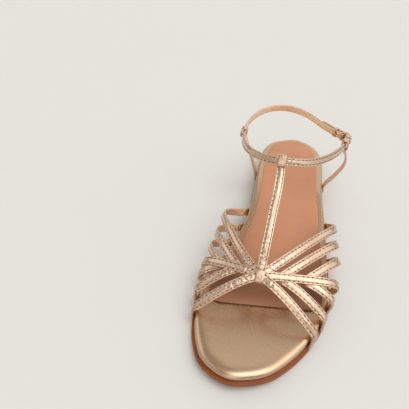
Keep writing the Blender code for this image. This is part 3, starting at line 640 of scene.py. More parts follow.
# Meshes
def grid_surface(bm, points, wrap_along=False, wrap_across=True, slots=None, crinkle=None,
                 valley=None):
    """Lay a grid of faces through rows of points and map it along and across in metres."""
    points = np.asarray(points, float)
    slots = [0] * points.shape[1] if slots is None else list(slots)
    crinkle = np.zeros(points.shape[0]) if crinkle is None else np.asarray(crinkle, float)
    valley = np.zeros(points.shape[1]) if valley is None else np.asarray(valley, float)
    if wrap_across:
        points = np.concatenate([points, points[:, :1]], axis=1)
        valley = np.append(valley, valley[0])
    if wrap_along:
        points = np.concatenate([points, points[:1]], axis=0)
        crinkle = np.append(crinkle, crinkle[0])
    rows, columns = points.shape[:2]
    along = arc_lengths(points.mean(axis=1)) * MM
    across = arc_lengths(points[rows // 2]) * MM
    map_layer = bm.loops.layers.uv.verify()
    crinkle_layer = bm.verts.layers.float.get("crinkle") or bm.verts.layers.float.new("crinkle")
    valley_layer = bm.verts.layers.float.get("valley") or bm.verts.layers.float.new("valley")
    verts = bmesh.ops.create_grid(bm, x_segments=columns - 1, y_segments=rows - 1, size=1.0)["verts"]
    spots = {}
    for index, vert in enumerate(verts):
        row, column = divmod(index, columns)
        vert.co = Vector(points[row, column])
        vert[crinkle_layer] = crinkle[row]
        vert[valley_layer] = valley[column]
        spots[vert] = (row, column)
    faces = {face for vert in verts for face in vert.link_faces}
    for face in faces:
        face.material_index = slots[min(spots[vert][1] for vert in face.verts)]
        for loop in face.loops:
            row, column = spots[loop.vert]
            loop[map_layer].uv = (along[row], across[column])
    if wrap_along or wrap_across:
        bmesh.ops.remove_doubles(bm, verts=verts, dist=WELD)


def close_ends(bm):
    """Fill the open ends of swept pieces."""
    bmesh.ops.holes_fill(bm, edges=[e for e in bm.edges if e.is_boundary])


def finish_piece(name, bm, makers, slot, *nodes):
    """Turn a mesh in millimetres into a piece of the sandal that stands for CAD nodes."""
    bmesh.ops.transform(bm, matrix=TO_FRAME, verts=bm.verts)
    bmesh.ops.recalc_face_normals(bm, faces=bm.faces)
    mesh = bpy.data.meshes.new(name)
    bm.to_mesh(mesh)
    bm.free()
    mesh.shade_smooth()
    piece = bpy.data.objects.new(name, mesh)
    bpy.context.scene.collection.objects.link(piece)
    for maker in makers:
        mesh.materials.append(shared(maker))
    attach(piece, BODY)
    if nodes:
        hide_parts(*nodes)
    return piece


def finish_straps(name, bm, node):
    """Piece of straps with closed ends, foil on the face and lining on the back."""
    close_ends(bm)
    finish_piece(name, bm, (foil_leather, strap_lining), "metallic_leather", node)


def sole_layer(bm, levels, front=None):
    """Closed layer of the sole from levels of (margin, height, corner), lowest first."""
    rings = []
    caps = []
    for margin, height, corner in levels:
        lateral = side_line(LATERAL, margin, front, corner)
        medial = side_line(MEDIAL, margin, front, corner)
        shares = np.linspace(0.0, 1.0, ACROSS_STEPS + 1)
        lines = [lateral + (medial - lateral) * share for share in shares]
        sheet = np.array([[place(x, station, height(station)) for x, station in line]
                          for line in lines])
        sheet = sheet.transpose(1, 0, 2)
        rings.append(np.concatenate([sheet[:-1, 0], sheet[-1], sheet[-2:0:-1, -1], sheet[0, -1:]]))
        caps.append(sheet)
    grid_surface(bm, rings)
    for sheet in (caps[0], caps[-1]):
        grid_surface(bm, sheet, wrap_across=False)
    bmesh.ops.remove_doubles(bm, verts=bm.verts, dist=WELD)
    bmesh.ops.dissolve_degenerate(bm, edges=bm.edges, dist=WELD)


def strap_profile(width, thickness, groove=0.0, inset=0.0):
    """Pillow-shaped section of a folded strap: across and outwards, its back, its stitched valleys."""
    half = width / 2.0
    turn = (np.arange(SECTION_POINTS) + 0.5) * 2.0 * math.pi / SECTION_POINTS
    cosine = np.cos(turn)
    sine = np.sin(turn)
    flatness = np.where(sine > 0.0, FACE_FLATNESS, BACK_FLATNESS)
    across = half * np.sign(cosine) * np.abs(cosine) ** EDGE_FLATNESS
    rise = np.sign(sine) * np.abs(sine) ** flatness
    outwards = thickness * (EDGE_HEIGHT + np.where(rise > 0.0, 1.0 - EDGE_HEIGHT, EDGE_HEIGHT) * rise)
    row = np.abs(np.abs(across) - (half - inset)) / GROOVE_REACH
    valley = np.where(rise > 0.0, np.exp(-row**2), 0.0)
    back = (sine < BACK_START).astype(int)
    return np.column_stack([across, outwards - groove * valley]), back, valley


def leather_profile(width, stitched=True):
    """Section of a strap of the sandal's leather, with grooves where it is stitched."""
    straps = settings().straps
    groove = straps.groove / MM if stitched else 0.0
    return strap_profile(width, straps.thickness / MM, groove, straps.stitch_inset / MM)


def frames_along(points, normals, closed=False):
    """Directions along a path, out of its face and across it."""
    if closed:
        along = unit(np.roll(points, -1, axis=0) - np.roll(points, 1, axis=0))
    else:
        along = unit(np.gradient(points, axis=0))
    outwards = unit(normals - np.sum(normals * along, axis=1)[:, None] * along)
    return along, outwards, np.cross(along, outwards)


def creases(profile, back, distance, share):
    """Rise and fall of a strap's face over its creases, most in the middle between the stitch rows."""
    across = profile[:, 0]
    middle = np.where(back == 0, np.cos(across / across.max() * math.pi / 2.0) ** 2, 0.0)
    rise = np.zeros((len(distance), len(across)))
    for spot, slant, depth, reach in CREASES:
        off = (distance[:, None] + slant * across - spot) / reach
        rise -= depth * (1.0 - 2.0 * off**2) * np.exp(-off**2)
    return rise * share[:, None] * middle


def sweep(points, normals, profile, closed=False, spread=None, rise=0.0):
    """Rows of points of a section carried along a path, its width scaled and its height raised."""
    _, outwards, across = frames_along(points, normals, closed)
    spread = np.ones(len(points)) if spread is None else spread
    sideways = across[:, None, :] * profile[None, :, :1] * spread[:, None, None]
    height = np.broadcast_to(profile[:, 1] + rise, (len(points), len(profile)))
    return points[:, None, :] + sideways + outwards[:, None, :] * height[:, :, None]


def seat_end(rows):
    """Shear the end of a strap so that its last row lies on the ledge of the sole."""
    along = unit(rows[-1].mean(axis=0) - rows[-3].mean(axis=0))
    target = ledge_height(HALF_LENGTH - rows[-1][:, 1])
    shift = (target - rows[-1][:, 2]) / along[2]
    from_end = arc_lengths(rows.mean(axis=1))
    weight = smoothstep(from_end[-1] - from_end, SEAT_REACH, 0.0)
    rows = rows + weight[:, None, None] * shift[None, :, None] * along
    rows[-1, :, 2] = ledge_height(HALF_LENGTH - rows[-1][:, 1])
    return rows


def dense_path(points, normals):
    """Evenly spaced points and normals on a smooth path."""
    dense = smooth_curve(np.hstack([points, np.asarray(normals) * TURN_WEIGHT]))
    path, facing = even_steps(dense[:, :3], dense[:, 3:], STRAP_STEP)
    return path, unit(facing)


def rounded_path(path, reach):
    """Path with its bends rounded over a reach, its ends kept."""
    sigma = reach / STRAP_STEP
    pad = int(ROUNDING_WIDTHS * sigma)
    kernel = np.exp(-0.5 * (np.arange(-pad, pad + 1) / sigma) ** 2)
    kernel /= kernel.sum()
    padded = np.vstack([2.0 * path[0] - path[pad:0:-1], path, 2.0 * path[-1] - path[-2:-pad - 2:-1]])
    return np.column_stack([np.convolve(column, kernel, mode='valid') for column in padded.T])


def draped_path(points, normals):
    """Path and face of a strap; where it runs back, it twists so that its bend is over its face."""
    path, facing = dense_path(points, normals)
    rounding = BACK_ROUNDING if points[-1][1] > points[0][1] else FRONT_ROUNDING
    path = rounded_path(path, rounding)
    facing = unit(rounded_path(facing, rounding))
    lengths = arc_lengths(path)
    outermost = points[-FOOT_POINTS]
    bend = int(np.argmin(np.linalg.norm(path - outermost, axis=1)))
    from_bend = lengths - lengths[bend]
    path = path + np.exp(-(from_bend / PULL_LENGTH) ** 2)[:, None] * (outermost - path[bend])
    along = unit(np.gradient(path, axis=0))
    before = unit(along[(from_bend > -2.0 * BEND_LENGTH) & (from_bend < -BEND_LENGTH)].mean(axis=0))
    after = unit(along[(from_bend < 2.0 * BEND_LENGTH) & (from_bend > BEND_LENGTH / 2.0)].mean(axis=0))
    across = np.cross(along, facing)
    hinge = unit(np.cross(before, after))
    hinge = hinge * np.sign(hinge @ across[bend])
    backwards = smoothstep(before[1], 0.0, BEND_BACKWARDS)
    twist = smoothstep(from_bend, -TWIST_LENGTH, -BEND_LENGTH / 2.0)
    untwist = smoothstep(from_bend, BEND_LENGTH / 2.0, lengths[-1] - lengths[bend])
    share = (backwards * twist * (1.0 - untwist))[:, None]
    across = across * (1.0 - share) + hinge * share
    return path, unit(np.cross(across, along))


def stitch_rows(path, facing, width, first, last):
    """Matrices of the needle holes and of the threads between them, in both rows of a strap."""
    straps = settings().straps
    row = width / 2.0 - straps.stitch_inset / MM
    lift = strap_height(width, row)
    tables = (path, *frames_along(path, facing))
    lengths = arc_lengths(path)
    pitch = straps.stitch_pitch / MM
    count = max(0, int((min(last, lengths[-1]) - first) / pitch))
    rows = ([], [])
    for side in (-1.0, 1.0):
        for half_step in range(2 * count + 1):
            distance = first + half_step * pitch / 2.0
            point, along, outwards, across = (
                np.array([np.interp(distance, lengths, column) for column in table.T])
                for table in tables)
            matrix = Matrix((along, across, outwards)).transposed().to_4x4()
            matrix.translation = Vector(point + across * side * row + outwards * lift)
            rows[half_step % 2].append(matrix)
    return rows


def strap_height(width, across):
    """Height of a strap's face at a distance from its middle."""
    profile, back, _ = leather_profile(width)
    face = profile[back == 0]
    face = face[np.argsort(face[:, 0])]
    return np.interp(across, face[:, 0], face[:, 1])


def bead_piece(name, places, size, maker):
    """One mesh of many small oval beads, such as needle holes or stitches."""
    pattern = bmesh.new()
    bmesh.ops.create_uvsphere(pattern, u_segments=BEAD_SEGMENTS, v_segments=BEAD_RINGS, radius=0.5)
    bmesh.ops.scale(pattern, vec=size, verts=pattern.verts)
    corners = np.array([vert.co for vert in pattern.verts])
    faces = [[vert.index for vert in face.verts] for face in pattern.faces]
    pattern.free()
    verts = []
    loops = []
    for number, matrix in enumerate(places):
        turn = np.array(matrix.to_3x3())
        verts.append(corners @ turn.T + np.array(matrix.translation))
        loops.extend([[corner + number * len(corners) for corner in face] for face in faces])
    mesh = bpy.data.meshes.new(name)
    mesh.from_pydata(np.concatenate(verts).tolist(), [], loops)
    bm = bmesh.new()
    bm.from_mesh(mesh)
    bpy.data.meshes.remove(mesh)
    finish_piece(name, bm, (maker,), "metallic_leather")


def stitch_pieces(name, rows):
    """Needle holes and threads of a strap."""
    straps = settings().straps
    width = straps.stitch_width / MM
    hole = (straps.hole_length / MM, straps.hole_width / MM, width * HOLE_DEPTH)
    thread = (straps.stitch_length / MM, width, width * THREAD_HEIGHT)
    bead_piece(name + "_holes", rows[0], hole, needle_hole)
    bead_piece(name + "_threads", rows[1], thread, stitch_thread)


# The last and the vamp straps
LAST_TABLE = smooth_curve(LAST_SECTIONS)


def last_column(column, station):
    """Read one column of the last at a station."""
    return np.interp(station, LAST_TABLE[:, 0], LAST_TABLE[:, column])


def crown_point(station):
    """Point on the crown of the last."""
    return place(T_STRAP_X, station, last_column(CROWN_COLUMN, station))


def crown_normal(station):
    """Upward direction of the last at its crown."""
    rising = crown_point(station - NUDGE) - crown_point(station + NUDGE)
    return unit(np.cross(SIDEWAYS, rising))


def widest_point(side, station):
    """Point on the widest line of the last."""
    reach = last_column(REACH_COLUMN[side], station)
    return place(side * reach, station, last_column(WIDEST_COLUMN, station))


def tight_strap(start, end, start_normal, end_normal, shares, flatness, bow):
    """Points and normals of a strap drawn over an oval section, with a bow."""
    points = []
    normals = []
    swell = np.linalg.norm(end - start) * (bow[0] * end_normal + bow[1] * UP)
    for share in shares:
        normal = unit(start_normal * flatness * math.sqrt(1.0 - share**2) + end_normal * share)
        points.append(start + (end - start) * share + swell * 4.0 * share * (1.0 - share))
        normals.append(normal)
    return points, normals


def section_flatness(side, station):
    """How much wider than high the last is above its widest line, so how long a strap faces up."""
    height = last_column(CROWN_COLUMN, station) - last_column(WIDEST_COLUMN, station)
    return FACE_UPRIGHT * last_column(REACH_COLUMN[side], station) / height


def strap_margin(station):
    """Distance of a strap's back from the outsole's edge, just outside the footbed's wall."""
    return ledge_width(station) - WALL_GAP


def wall_height(station):
    """Height where a strap leaves the footbed's wall."""
    return ledge_height(station) + WALL_REACH * (footbed_thickness(station) - WALL_GAP)


def over_widest(side, station, anchor):
    """Point that a strap aims for above the widest line, so that it turns down in a round bend."""
    widest = widest_point(side, station)
    inwards = abs(widest[0]) - abs(edge_x(side, strap_margin(anchor), anchor))
    return widest + UP * min(TURN_HEIGHT[side], TURN_SHARE * max(inwards, 0.0))


def spine_half(side, shares):
    """Points and normals of the spine from the knot to its widest point on one side."""
    station = SPINE_WIDEST[side]
    return tight_strap(crown_point(KNOT_STATION), over_widest(side, station, SPINE_ANCHOR[side]),
                       crown_normal(KNOT_STATION), edge_normal(side, station), shares,
                       section_flatness(side, KNOT_STATION), SPINE_BOW[side])


def strap_foot(side, widest_station, anchor):
    """Lower end of a strap: from the widest line, tucked in to the footbed's wall and the ledge."""
    outermost = widest_point(side, widest_station)
    reach = abs(outermost[0])
    widest = outermost[2]
    foot_height = ledge_height(anchor) + WALL_GAP
    wall = abs(edge_x(side, strap_margin(anchor), anchor))
    wall_top = wall_height(anchor)
    tuck_x = wall + (reach - wall) * TUCK_REACH
    tuck_z = widest + (wall_top - widest) * TUCK_DROP
    slope = (anchor - widest_station) / (widest - foot_height)
    tuck_station = widest_station + slope * (widest - tuck_z)
    wall_slope = np.clip(slope, -FOOT_SLANT, FOOT_SLANT)
    wall_station = anchor - wall_slope * (wall_top - foot_height)
    wall_x = edge_x(side, strap_margin(wall_station), wall_station)
    normal = edge_normal(side, anchor)
    leaning = (reach - wall) / max(1.0, widest - wall_top)
    points = [outermost,
              place(side * tuck_x, tuck_station, tuck_z),
              place(wall_x, wall_station, wall_top),
              place(side * wall, anchor, foot_height)]
    normals = [edge_normal(side, widest_station),
               unit(normal - UP * min(1.0, TUCK_LEAN * leaning)), normal, normal]
    return points, normals


def vamp_path(side, spine_share, widest_station, anchor):
    """Points and normals of a strap from the spine over the last to the sole."""
    starts, start_normals = spine_half(side, [spine_share])
    start = starts[0]
    if spine_share > 0.0:
        ahead = 1.0 if widest_station > SPINE_WIDEST[side] else -1.0
        rising = np.cross(SIDEWAYS, start_normals[0])
        start = start - unit(rising) * ahead * SPINE_STAGGER * np.sign(rising[1])
        start = start - start_normals[0] * SPINE_DROP
    aim = over_widest(side, widest_station, anchor)
    start = start - unit(aim - start) * SPINE_TUCK
    bow = BACK_BOW[side] if aim[1] > start[1] else FRONT_BOW[side]
    points, normals = tight_strap(start, aim, start_normals[0], edge_normal(side, widest_station),
                                  VAMP_SHARES, section_flatness(side, widest_station), bow)
    foot_points, foot_normals = strap_foot(side, widest_station, anchor)
    return np.array(points + foot_points), np.array(normals + foot_normals)


def spine_path(side):
    """Points and normals of half of the cross strap, from the knot to the ledge."""
    points, normals = spine_half(side, SPINE_SHARES)
    points = [point + SPINE_LIFT * normal for point, normal in zip(points, normals)]
    foot_points, foot_normals = strap_foot(side, SPINE_WIDEST[side], SPINE_ANCHOR[side])
    return np.array(points + foot_points), np.array(normals + foot_normals)


# The ankle ring
RING_CURVE = smooth_curve([(x, HALF_LENGTH - station, z, tilt) for x, station, z, tilt in ANKLE_RING],
                          closed=True)
RING_LENGTHS = arc_lengths(RING_CURVE[:, :3])
RING_TURN = RING_LENGTHS[-1]
FRONT_DISTANCE = RING_LENGTHS[int(np.argmin(RING_CURVE[:, 1]))]


def ring_point(distance):
    """Point of the ankle ring at a distance from its start."""
    spot = distance % RING_TURN
    return np.array([np.interp(spot, RING_LENGTHS, RING_CURVE[:, axis]) for axis in range(3)])


def ring_frame(distance):
    """Point, direction, face normal and width direction of the ankle ring."""
    point = ring_point(distance)
    along = unit(ring_point(distance + NUDGE) - ring_point(distance - NUDGE))
    level = unit(np.cross(UP, along))
    middle = RING_CURVE[:, :3].mean(axis=0)
    if level @ (point - middle) < 0.0:
        level = -level
    tilt = math.radians(np.interp(distance % RING_TURN, RING_LENGTHS, RING_CURVE[:, 3]))
    normal = math.cos(tilt) * level + math.sin(tilt) * UP
    normal = unit(normal - (normal @ along) * along)
    across = np.cross(along, normal)
    if across[2] < 0.0:
        across = -across
    return point, along, normal, across


def ring_distance(side, station):
    """Distance along the ring where it passes a station on one side."""
    best = None
    for distance in np.arange(0.0, RING_TURN, RING_STEP):
        point = ring_point(distance)
        miss = abs(HALF_LENGTH - station - point[1])
        if point[0] * side > RING_SIDE_REACH and (best is None or miss < best[0]):
            best = (miss, distance)
    return best[1]


EYE_DISTANCE = ring_distance(LATERAL, BUCKLE_STATION)


def buckle_sizes():
    """Offsets of the buckle's parts from the strap's back: bar, front bar, eye, strap, free end."""
    thickness = settings().straps.thickness / MM
    wire = settings().buckle.wire / MM
    eye_inner = wire / 2.0 + BUCKLE_GAP
    bar = thickness / 2.0
    return {
        "wire": wire,
        "bar": bar,
        "front_bar": thickness + 2.0 * BUCKLE_GAP + wire / 2.0,
        "eye_inner": eye_inner,
        "over_eye": bar + eye_inner + EYE_WALL + OVER_EYE_GAP,
        "free_end": thickness + FREE_END_GAP,
    }


def strap_offset(distance):
    """Outward offset of the ankle strap: level for one turn, then through the buckle."""
    sizes = buckle_sizes()
    from_eye = distance - RING_TURN
    rise = smoothstep(from_eye, STRAP_RISE_START, 0.0)
    settle = smoothstep(from_eye, STRAP_SETTLE_START, STRAP_SETTLE_END)
    return sizes["over_eye"] * rise + (sizes["free_end"] - sizes["over_eye"]) * settle


def ankle_path():
    """Points and normals of the ankle strap from its eye round the ankle to its free tip."""
    start = buckle_sizes()["eye_inner"] + EYE_WALL / 2.0
    points = []
    normals = []
    for distance in np.arange(start, RING_TURN + FREE_END_LENGTH, RING_STEP):
        point, _, normal, _ = ring_frame(EYE_DISTANCE + distance)
        points.append(point + normal * strap_offset(distance))
        normals.append(normal)
    path, facing = even_steps(np.array(points), np.array(normals), STRAP_STEP)
    return path, unit(facing)


def buckle_axes():
    """Rear bar's centre, with axes to the front, outwards and up."""
    point, along, normal, across = ring_frame(EYE_DISTANCE)
    return point + normal * buckle_sizes()["bar"], np.array([-along, normal, across])


def in_buckle(forwards, outwards, upwards):
    """Point given along the buckle's own axes."""
    origin, axes = buckle_axes()
    return origin + np.array([forwards, outwards, upwards]) @ axes


# Pieces of strap
def racetrack(half_across, half_out, radius):
    """Rounded rectangle as points and outward directions: across, outwards."""
    corners = ((1, 1, 0.0), (-1, 1, 90.0), (-1, -1, 180.0), (1, -1, 270.0))
    points = []
    normals = []
    for sign_across, sign_out, start in corners:
        for turn in np.linspace(0.0, 90.0, LOOP_CORNER_STEPS + 1):
            angle = math.radians(start + turn)
            normals.append((math.cos(angle), math.sin(angle)))
            points.append((sign_across * (half_across - radius) + radius * math.cos(angle),
                           sign_out * (half_out - radius) + radius * math.sin(angle)))
    return np.array(points), np.array(normals)


def loop_band(bm, origin, axes, half_across, half_out, width, wall, radius=LOOP_CORNER):
    """Leather band with rounded edges round a strap; axes are its bore, across and outwards."""
    bore, across, outwards = axes
    flat, turned = racetrack(half_across, half_out, min(radius, half_across, half_out))
    points = origin + flat[:, :1] * across + flat[:, 1:] * outwards
    normals = turned[:, :1] * across + turned[:, 1:] * outwards
    profile, back, _ = strap_profile(width, wall)
    rows = points[:, None, :] + bore * profile[None, :, :1] + normals[:, None, :] * profile[None, :, 1:]
    grid_surface(bm, rows, wrap_along=True, slots=back)


def strap_piece(bm, path, facing, width, seats=(), spread=None, crinkle=None, stitched=True):
    """One strap along a path, seated on the ledge at the ends that are asked for."""
    profile, back, valley = leather_profile(width, stitched)
    distance, share = crinkle or (np.zeros(len(path)), np.zeros(len(path)))
    rows = sweep(path, facing, profile, spread=spread, rise=creases(profile, back, distance, share))
    if "end" in seats:
        rows = seat_end(rows)
    if "start" in seats:
        rows = seat_end(rows[::-1])[::-1]
    grid_surface(bm, rows, slots=back, crinkle=share, valley=valley if stitched else None)


def add_rows(rows, more):
    """Add the places of one strap's stitches to those of the others."""
    for places, extra in zip(rows, more):
        places.extend(extra)


def knot_crinkle(path):
    """Distance of a strap's points from the knot and their crinkles, most on the inner side."""
    distance = np.linalg.norm(path - crown_point(KNOT_STATION), axis=1)
    share = CRINKLE_SHARE[LATERAL if path[-1, 0] > 0.0 else MEDIAL]
    return distance, share * (1.0 - smoothstep(distance, *KNOT_FADE))


def knot_band(bm):
    """Smooth band folded round the crossing, along the foot."""
    normal = crown_normal(KNOT_STATION)
    along = np.cross(normal, SIDEWAYS)
    middle = crown_point(KNOT_STATION) + normal * (settings().straps.thickness / MM + SPINE_LIFT) / 2.0
    half_along = BAND_LENGTH / 2.0 - BAND_WALL
    half_out = BAND_HEIGHT / 2.0 - BAND_WALL
    loop_band(bm, middle, (SIDEWAYS, along, normal), half_along, half_out, BAND_WIDTH, BAND_WALL)


def ring_loop(bm, distance, clearance, width, corner):
    """Loop of a strap round the ankle strap; returns where the strap joins it, and its face."""
    straps = settings().straps
    thickness = straps.thickness / MM
    point, along, normal, across = ring_frame(distance)
    centre = point + normal * thickness / 2.0
    half_across = straps.ankle_width / MM / 2.0 + LOOP_CLEARANCE
    half_out = thickness / 2.0 + clearance
    loop_band(bm, centre, (along, across, normal), half_across, half_out, width, LOOP_WALL, corner)
    return point - across * (half_across + LOOP_WALL * LOOP_JOIN), normal


def t_strap(bm, width):
    """T-strap from the knot to the ankle ring with the loop at its top; returns its path."""
    top, top_normal = ring_loop(bm, FRONT_DISTANCE, T_LOOP_CLEARANCE, T_LOOP_WIDTH, T_LOOP_CORNER)
    normals = [crown_normal(station) for station in T_STRAP_STATIONS]
    points = [crown_point(station) + normal * T_STRAP_LIFT
              for station, normal in zip(T_STRAP_STATIONS, normals)]
    path, facing = dense_path(np.array(points + [top]), np.array(normals + [top_normal]))
    strap_piece(bm, path, facing, width, crinkle=knot_crinkle(path))
    return path, facing


def stay(bm, side):
    """Upright strap from the ledge to its loop on the ankle strap."""
    distance = ring_distance(side, STAY_LOOP_STATION[side])
    top, top_normal = ring_loop(bm, distance, LOOP_CLEARANCE, STAY_WIDTH, LOOP_CORNER)
    anchor = STAY_STATION[side]
    outwards = edge_normal(side, anchor)
    wall = edge_x(side, strap_margin(anchor), anchor)
    heights = (ledge_height(anchor) + WALL_GAP, wall_height(anchor))
    foot = [place(wall, anchor, height) for height in heights]
    bends = [place(*bend) for bend in STAY_BENDS[side]]
    points = np.array(foot + bends + [top])
    normals = [outwards, outwards]
    for before, after in zip(points[1:-2], points[3:]):
        rising = unit(after - before)
        normals.append(unit(outwards - (outwards @ rising) * rising))
    normals.append(top_normal)
    path, facing = dense_path(points, np.array(normals))
    strap_piece(bm, path, facing, STAY_WIDTH, seats=("start",), stitched=False)


# Materials: how far the painted shade of the straps reaches on the sock, how finely that is sampled, the
# open share at which it is darkest and lightest, and the darkest value
SHADE_REACH = 0.03
SHADE_SAMPLES = 8
SHADE_OPEN = (0.3, 0.92)
SHADE_DARKEST = 0.25

# Range in which most of a noise lies, the value of the painted shade in the groove along a stitch row,
# and how deep the crinkles are on a calm stretch
NOISE_RANGE = (0.3, 0.7)
PAINTED_GROOVE_SHADE = 0.78
CALM_DEPTH = 0.12

# Sockets of a Mix node for colours: the two colours and the result
MIX_FIRST = 6
MIX_SECOND = 7
MIX_RESULT = 2


def set_sockets(tree, node, links, values):
    """Set the sockets of a node to values, or feed them with links."""
    for key, value in values.items():
        node.inputs[key].default_value = value
    for key, source in links.items():
        tree.links.new(source, node.inputs[key])


def add_node(tree, kind, links=None, values=None, **options):
    """Add a shader node: options are its settings, values its sockets, links what feeds them."""
    made = tree.nodes.new("ShaderNode" + kind)
    for key, value in options.items():
        setattr(made, key, value)
    set_sockets(tree, made, links or {}, values or {})
    return made


def grain(tree, size, detail=2.0, **sockets):
    """Noise in the object's own coordinates, with grains of a size in metres."""
    spot = add_node(tree, "TexCoord")
    return add_node(tree, "TexNoise", {"Vector": spot.outputs["Object"]},
                    {"Scale": 1.0 / size, "Detail": detail, **sockets}).outputs[0]


def strap_grain(tree, length, width, **sockets):
    """Noise on a strap's own map, with grains of a length and a width in metres."""
    spot = add_node(tree, "TexCoord")
    scaled = add_node(tree, "Mapping", {"Vector": spot.outputs["UV"]},
                      {"Scale": (1.0 / length, 1.0 / width, 1.0)})
    return add_node(tree, "TexNoise", {"Vector": scaled.outputs[0]},
                    {"Scale": 1.0, "Detail": 2.0, **sockets}, noise_dimensions='2D').outputs[0]


def remap(tree, value, low, high, span=(0.0, 1.0), **options):
    """Turn a value that runs over a span into one from low to high."""
    sockets = {"From Min": span[0], "From Max": span[1], "To Min": low, "To Max": high}
    return add_node(tree, "MapRange", {"Value": value}, sockets, **options).outputs[0]


def multiply(tree, first, second):
    """Product of two values."""
    return add_node(tree, "Math", {0: first, 1: second}, operation='MULTIPLY').outputs[0]


def mixed(tree, share, first, second):
    """Colour between two others."""
    return add_node(tree, "Mix", {0: share}, {MIX_FIRST: rgba(first), MIX_SECOND: rgba(second)},
                    data_type='RGBA').outputs[MIX_RESULT]


def bump(tree, height, strength, distance, **under):
    """Bump of a height, its distance in metres, on top of a Normal where one is given."""
    return add_node(tree, "Bump", {"Height": height, **under},
                    {"Strength": strength, "Distance": distance}).outputs[0]


def new_material(name):
    """Empty material with its tree and Principled shader."""
    material = bpy.data.materials.new(name)
    material.use_nodes = True
    return material, material.node_tree, material.node_tree.nodes["Principled BSDF"]


def rgba(colour):
    """Colour with full alpha."""
    return (*colour, 1.0)


def foil_leather(tree, shader, colours):
    """Kid leather under pressed metallic foil: a bright satin sheen, fine pores, crinkles at bends."""
    pores = grain(tree, 0.0009, 3.0, Roughness=0.6)
    patches = grain(tree, 0.009)
    crinkles = strap_grain(tree, 0.0022, 0.0045, Distortion=0.6)
    streaks = strap_grain(tree, 0.014, 0.0012)
    crinkled = add_node(tree, "Attribute", attribute_name="crinkle").outputs["Fac"]
    # The groove share along the stitch rows; below it paints shade into the foil's colour.
    valley = add_node(tree, "Attribute", attribute_name="valley").outputs["Fac"]
    depth = multiply(tree, crinkles, remap(tree, crinkled, CALM_DEPTH, 1.0))
    # Colour: random mottle between the two foils, darkened by painted shade in the grooves of the stitch
    # rows.
    colour = add_node(tree, "HueSaturation", {
        "Color": mixed(tree, patches, colours.foil_deep, colours.foil),
        "Value": remap(tree, valley, 1.0, PAINTED_GROOVE_SHADE),
    })
    fine = bump(tree, pores, 0.1, 0.00012)
    drawn = bump(tree, streaks, 0.5, 0.0003, Normal=fine)
    normal = bump(tree, depth, 0.9, 0.0014, Normal=drawn)
    links = {"Base Color": colour.outputs[0], "Roughness": remap(tree, pores, 0.2, 0.28, NOISE_RANGE),
             "Normal": normal, "Coat Normal": normal}
    values = {"Metallic": 0.92, "Coat Weight": 1.0, "Coat Roughness": 0.12, "Coat IOR": 2.1}
    set_sockets(tree, shader, links, values)


def strap_lining(tree, shader, colours):
    """Back of the straps: peach lining leather with a gold wash, wrinkled so that it glints."""
    wrinkles = grain(tree, 0.0018)
    set_sockets(tree, shader, {"Normal": bump(tree, wrinkles, 1.0, 0.001)},
                {"Base Color": rgba(colours.lining), "Metallic": 0.65, "Roughness": 0.25})


def footbed_leather(tree, shader, colours):
    """The same foil leather drawn smooth over the footbed: an even satin with a soft grain."""
    pores = grain(tree, 0.0007, 4.0, Roughness=0.65)
    links = {"Roughness": remap(tree, pores, 0.22, 0.3, NOISE_RANGE),
             "Normal": bump(tree, pores, 0.15, 0.0001)}
    set_sockets(tree, shader, links, {"Base Color": rgba(colours.footbed), "Metallic": 0.9})


def sock_leather(tree, shader, colours):
    """Matte vegetable-dyed sheepskin: soft pores, faint cloudy dye, and painted shade from an occlusion
    node close under the straps.
    """
    spot = add_node(tree, "TexCoord")
    pores = add_node(tree, "TexVoronoi", {"Vector": spot.outputs["Object"]}, {"Scale": 1.0 / 0.0011})
    clouds = remap(tree, grain(tree, 0.022, 3.0), 0.93, 1.05, NOISE_RANGE)
    # Painted shade: an occlusion node darkens the sock's colour where the straps close over it.
    painted_shade_occlusion = add_node(tree, "AmbientOcclusion", None, {"Distance": SHADE_REACH}, samples=SHADE_SAMPLES)
    shade = remap(tree, painted_shade_occlusion.outputs["AO"], SHADE_DARKEST, 1.0, SHADE_OPEN)
    colour = add_node(tree, "HueSaturation", {"Value": multiply(tree, clouds, shade)},
                      {"Color": rgba(colours.sock)})
    fine = bump(tree, pores.outputs["Distance"], 0.2, 0.0001)
    set_sockets(tree, shader, {"Base Color": colour.outputs[0], "Normal": fine}, {"Roughness": 0.58})


def sole_leather(tree, shader, colours):
    """Cut sole leather with a stained and burnished edge: fibres run along the edge."""
    spot = add_node(tree, "TexCoord")
    stretch = add_node(tree, "Mapping", {"Vector": spot.outputs["Object"]},
                       {"Scale": (1.0 / 0.008, 1.0 / 0.008, 1.0 / 0.0012)})
    fibres = add_node(tree, "TexNoise", {"Vector": stretch.outputs[0]},
                      {"Scale": 1.0, "Detail": 4.0}).outputs[0]
    links = {"Base Color": mixed(tree, fibres, colours.sole_edge, colours.sole),
             "Normal": bump(tree, fibres, 0.25, 0.0002)}
    set_sockets(tree, shader, links, {"Roughness": 0.4, "Specular IOR Level": 0.4})


def stitch_thread(tree, shader, colours):
    """Champagne polyester thread, a little darker than the foil it lies in."""
    set_sockets(tree, shader, {"Normal": bump(tree, grain(tree, 0.0003), 0.3, 0.0001)},
                {"Base Color": rgba(colours.thread), "Roughness": 0.5})


def needle_hole(tree, shader, colours):
    """Dark beads for the needle holes: the tone of raw leather, darkened to paint the shade inside each
    hole, which reads as a dark dot.
    """
    colour = add_node(tree, "HueSaturation", {"Value": remap(tree, grain(tree, 0.0004), 0.8, 1.2)},
                      {"Color": rgba(colours.hole)})
    set_sockets(tree, shader, {"Base Color": colour.outputs[0]},
                {"Roughness": 0.8, "Specular IOR Level": 0.2})


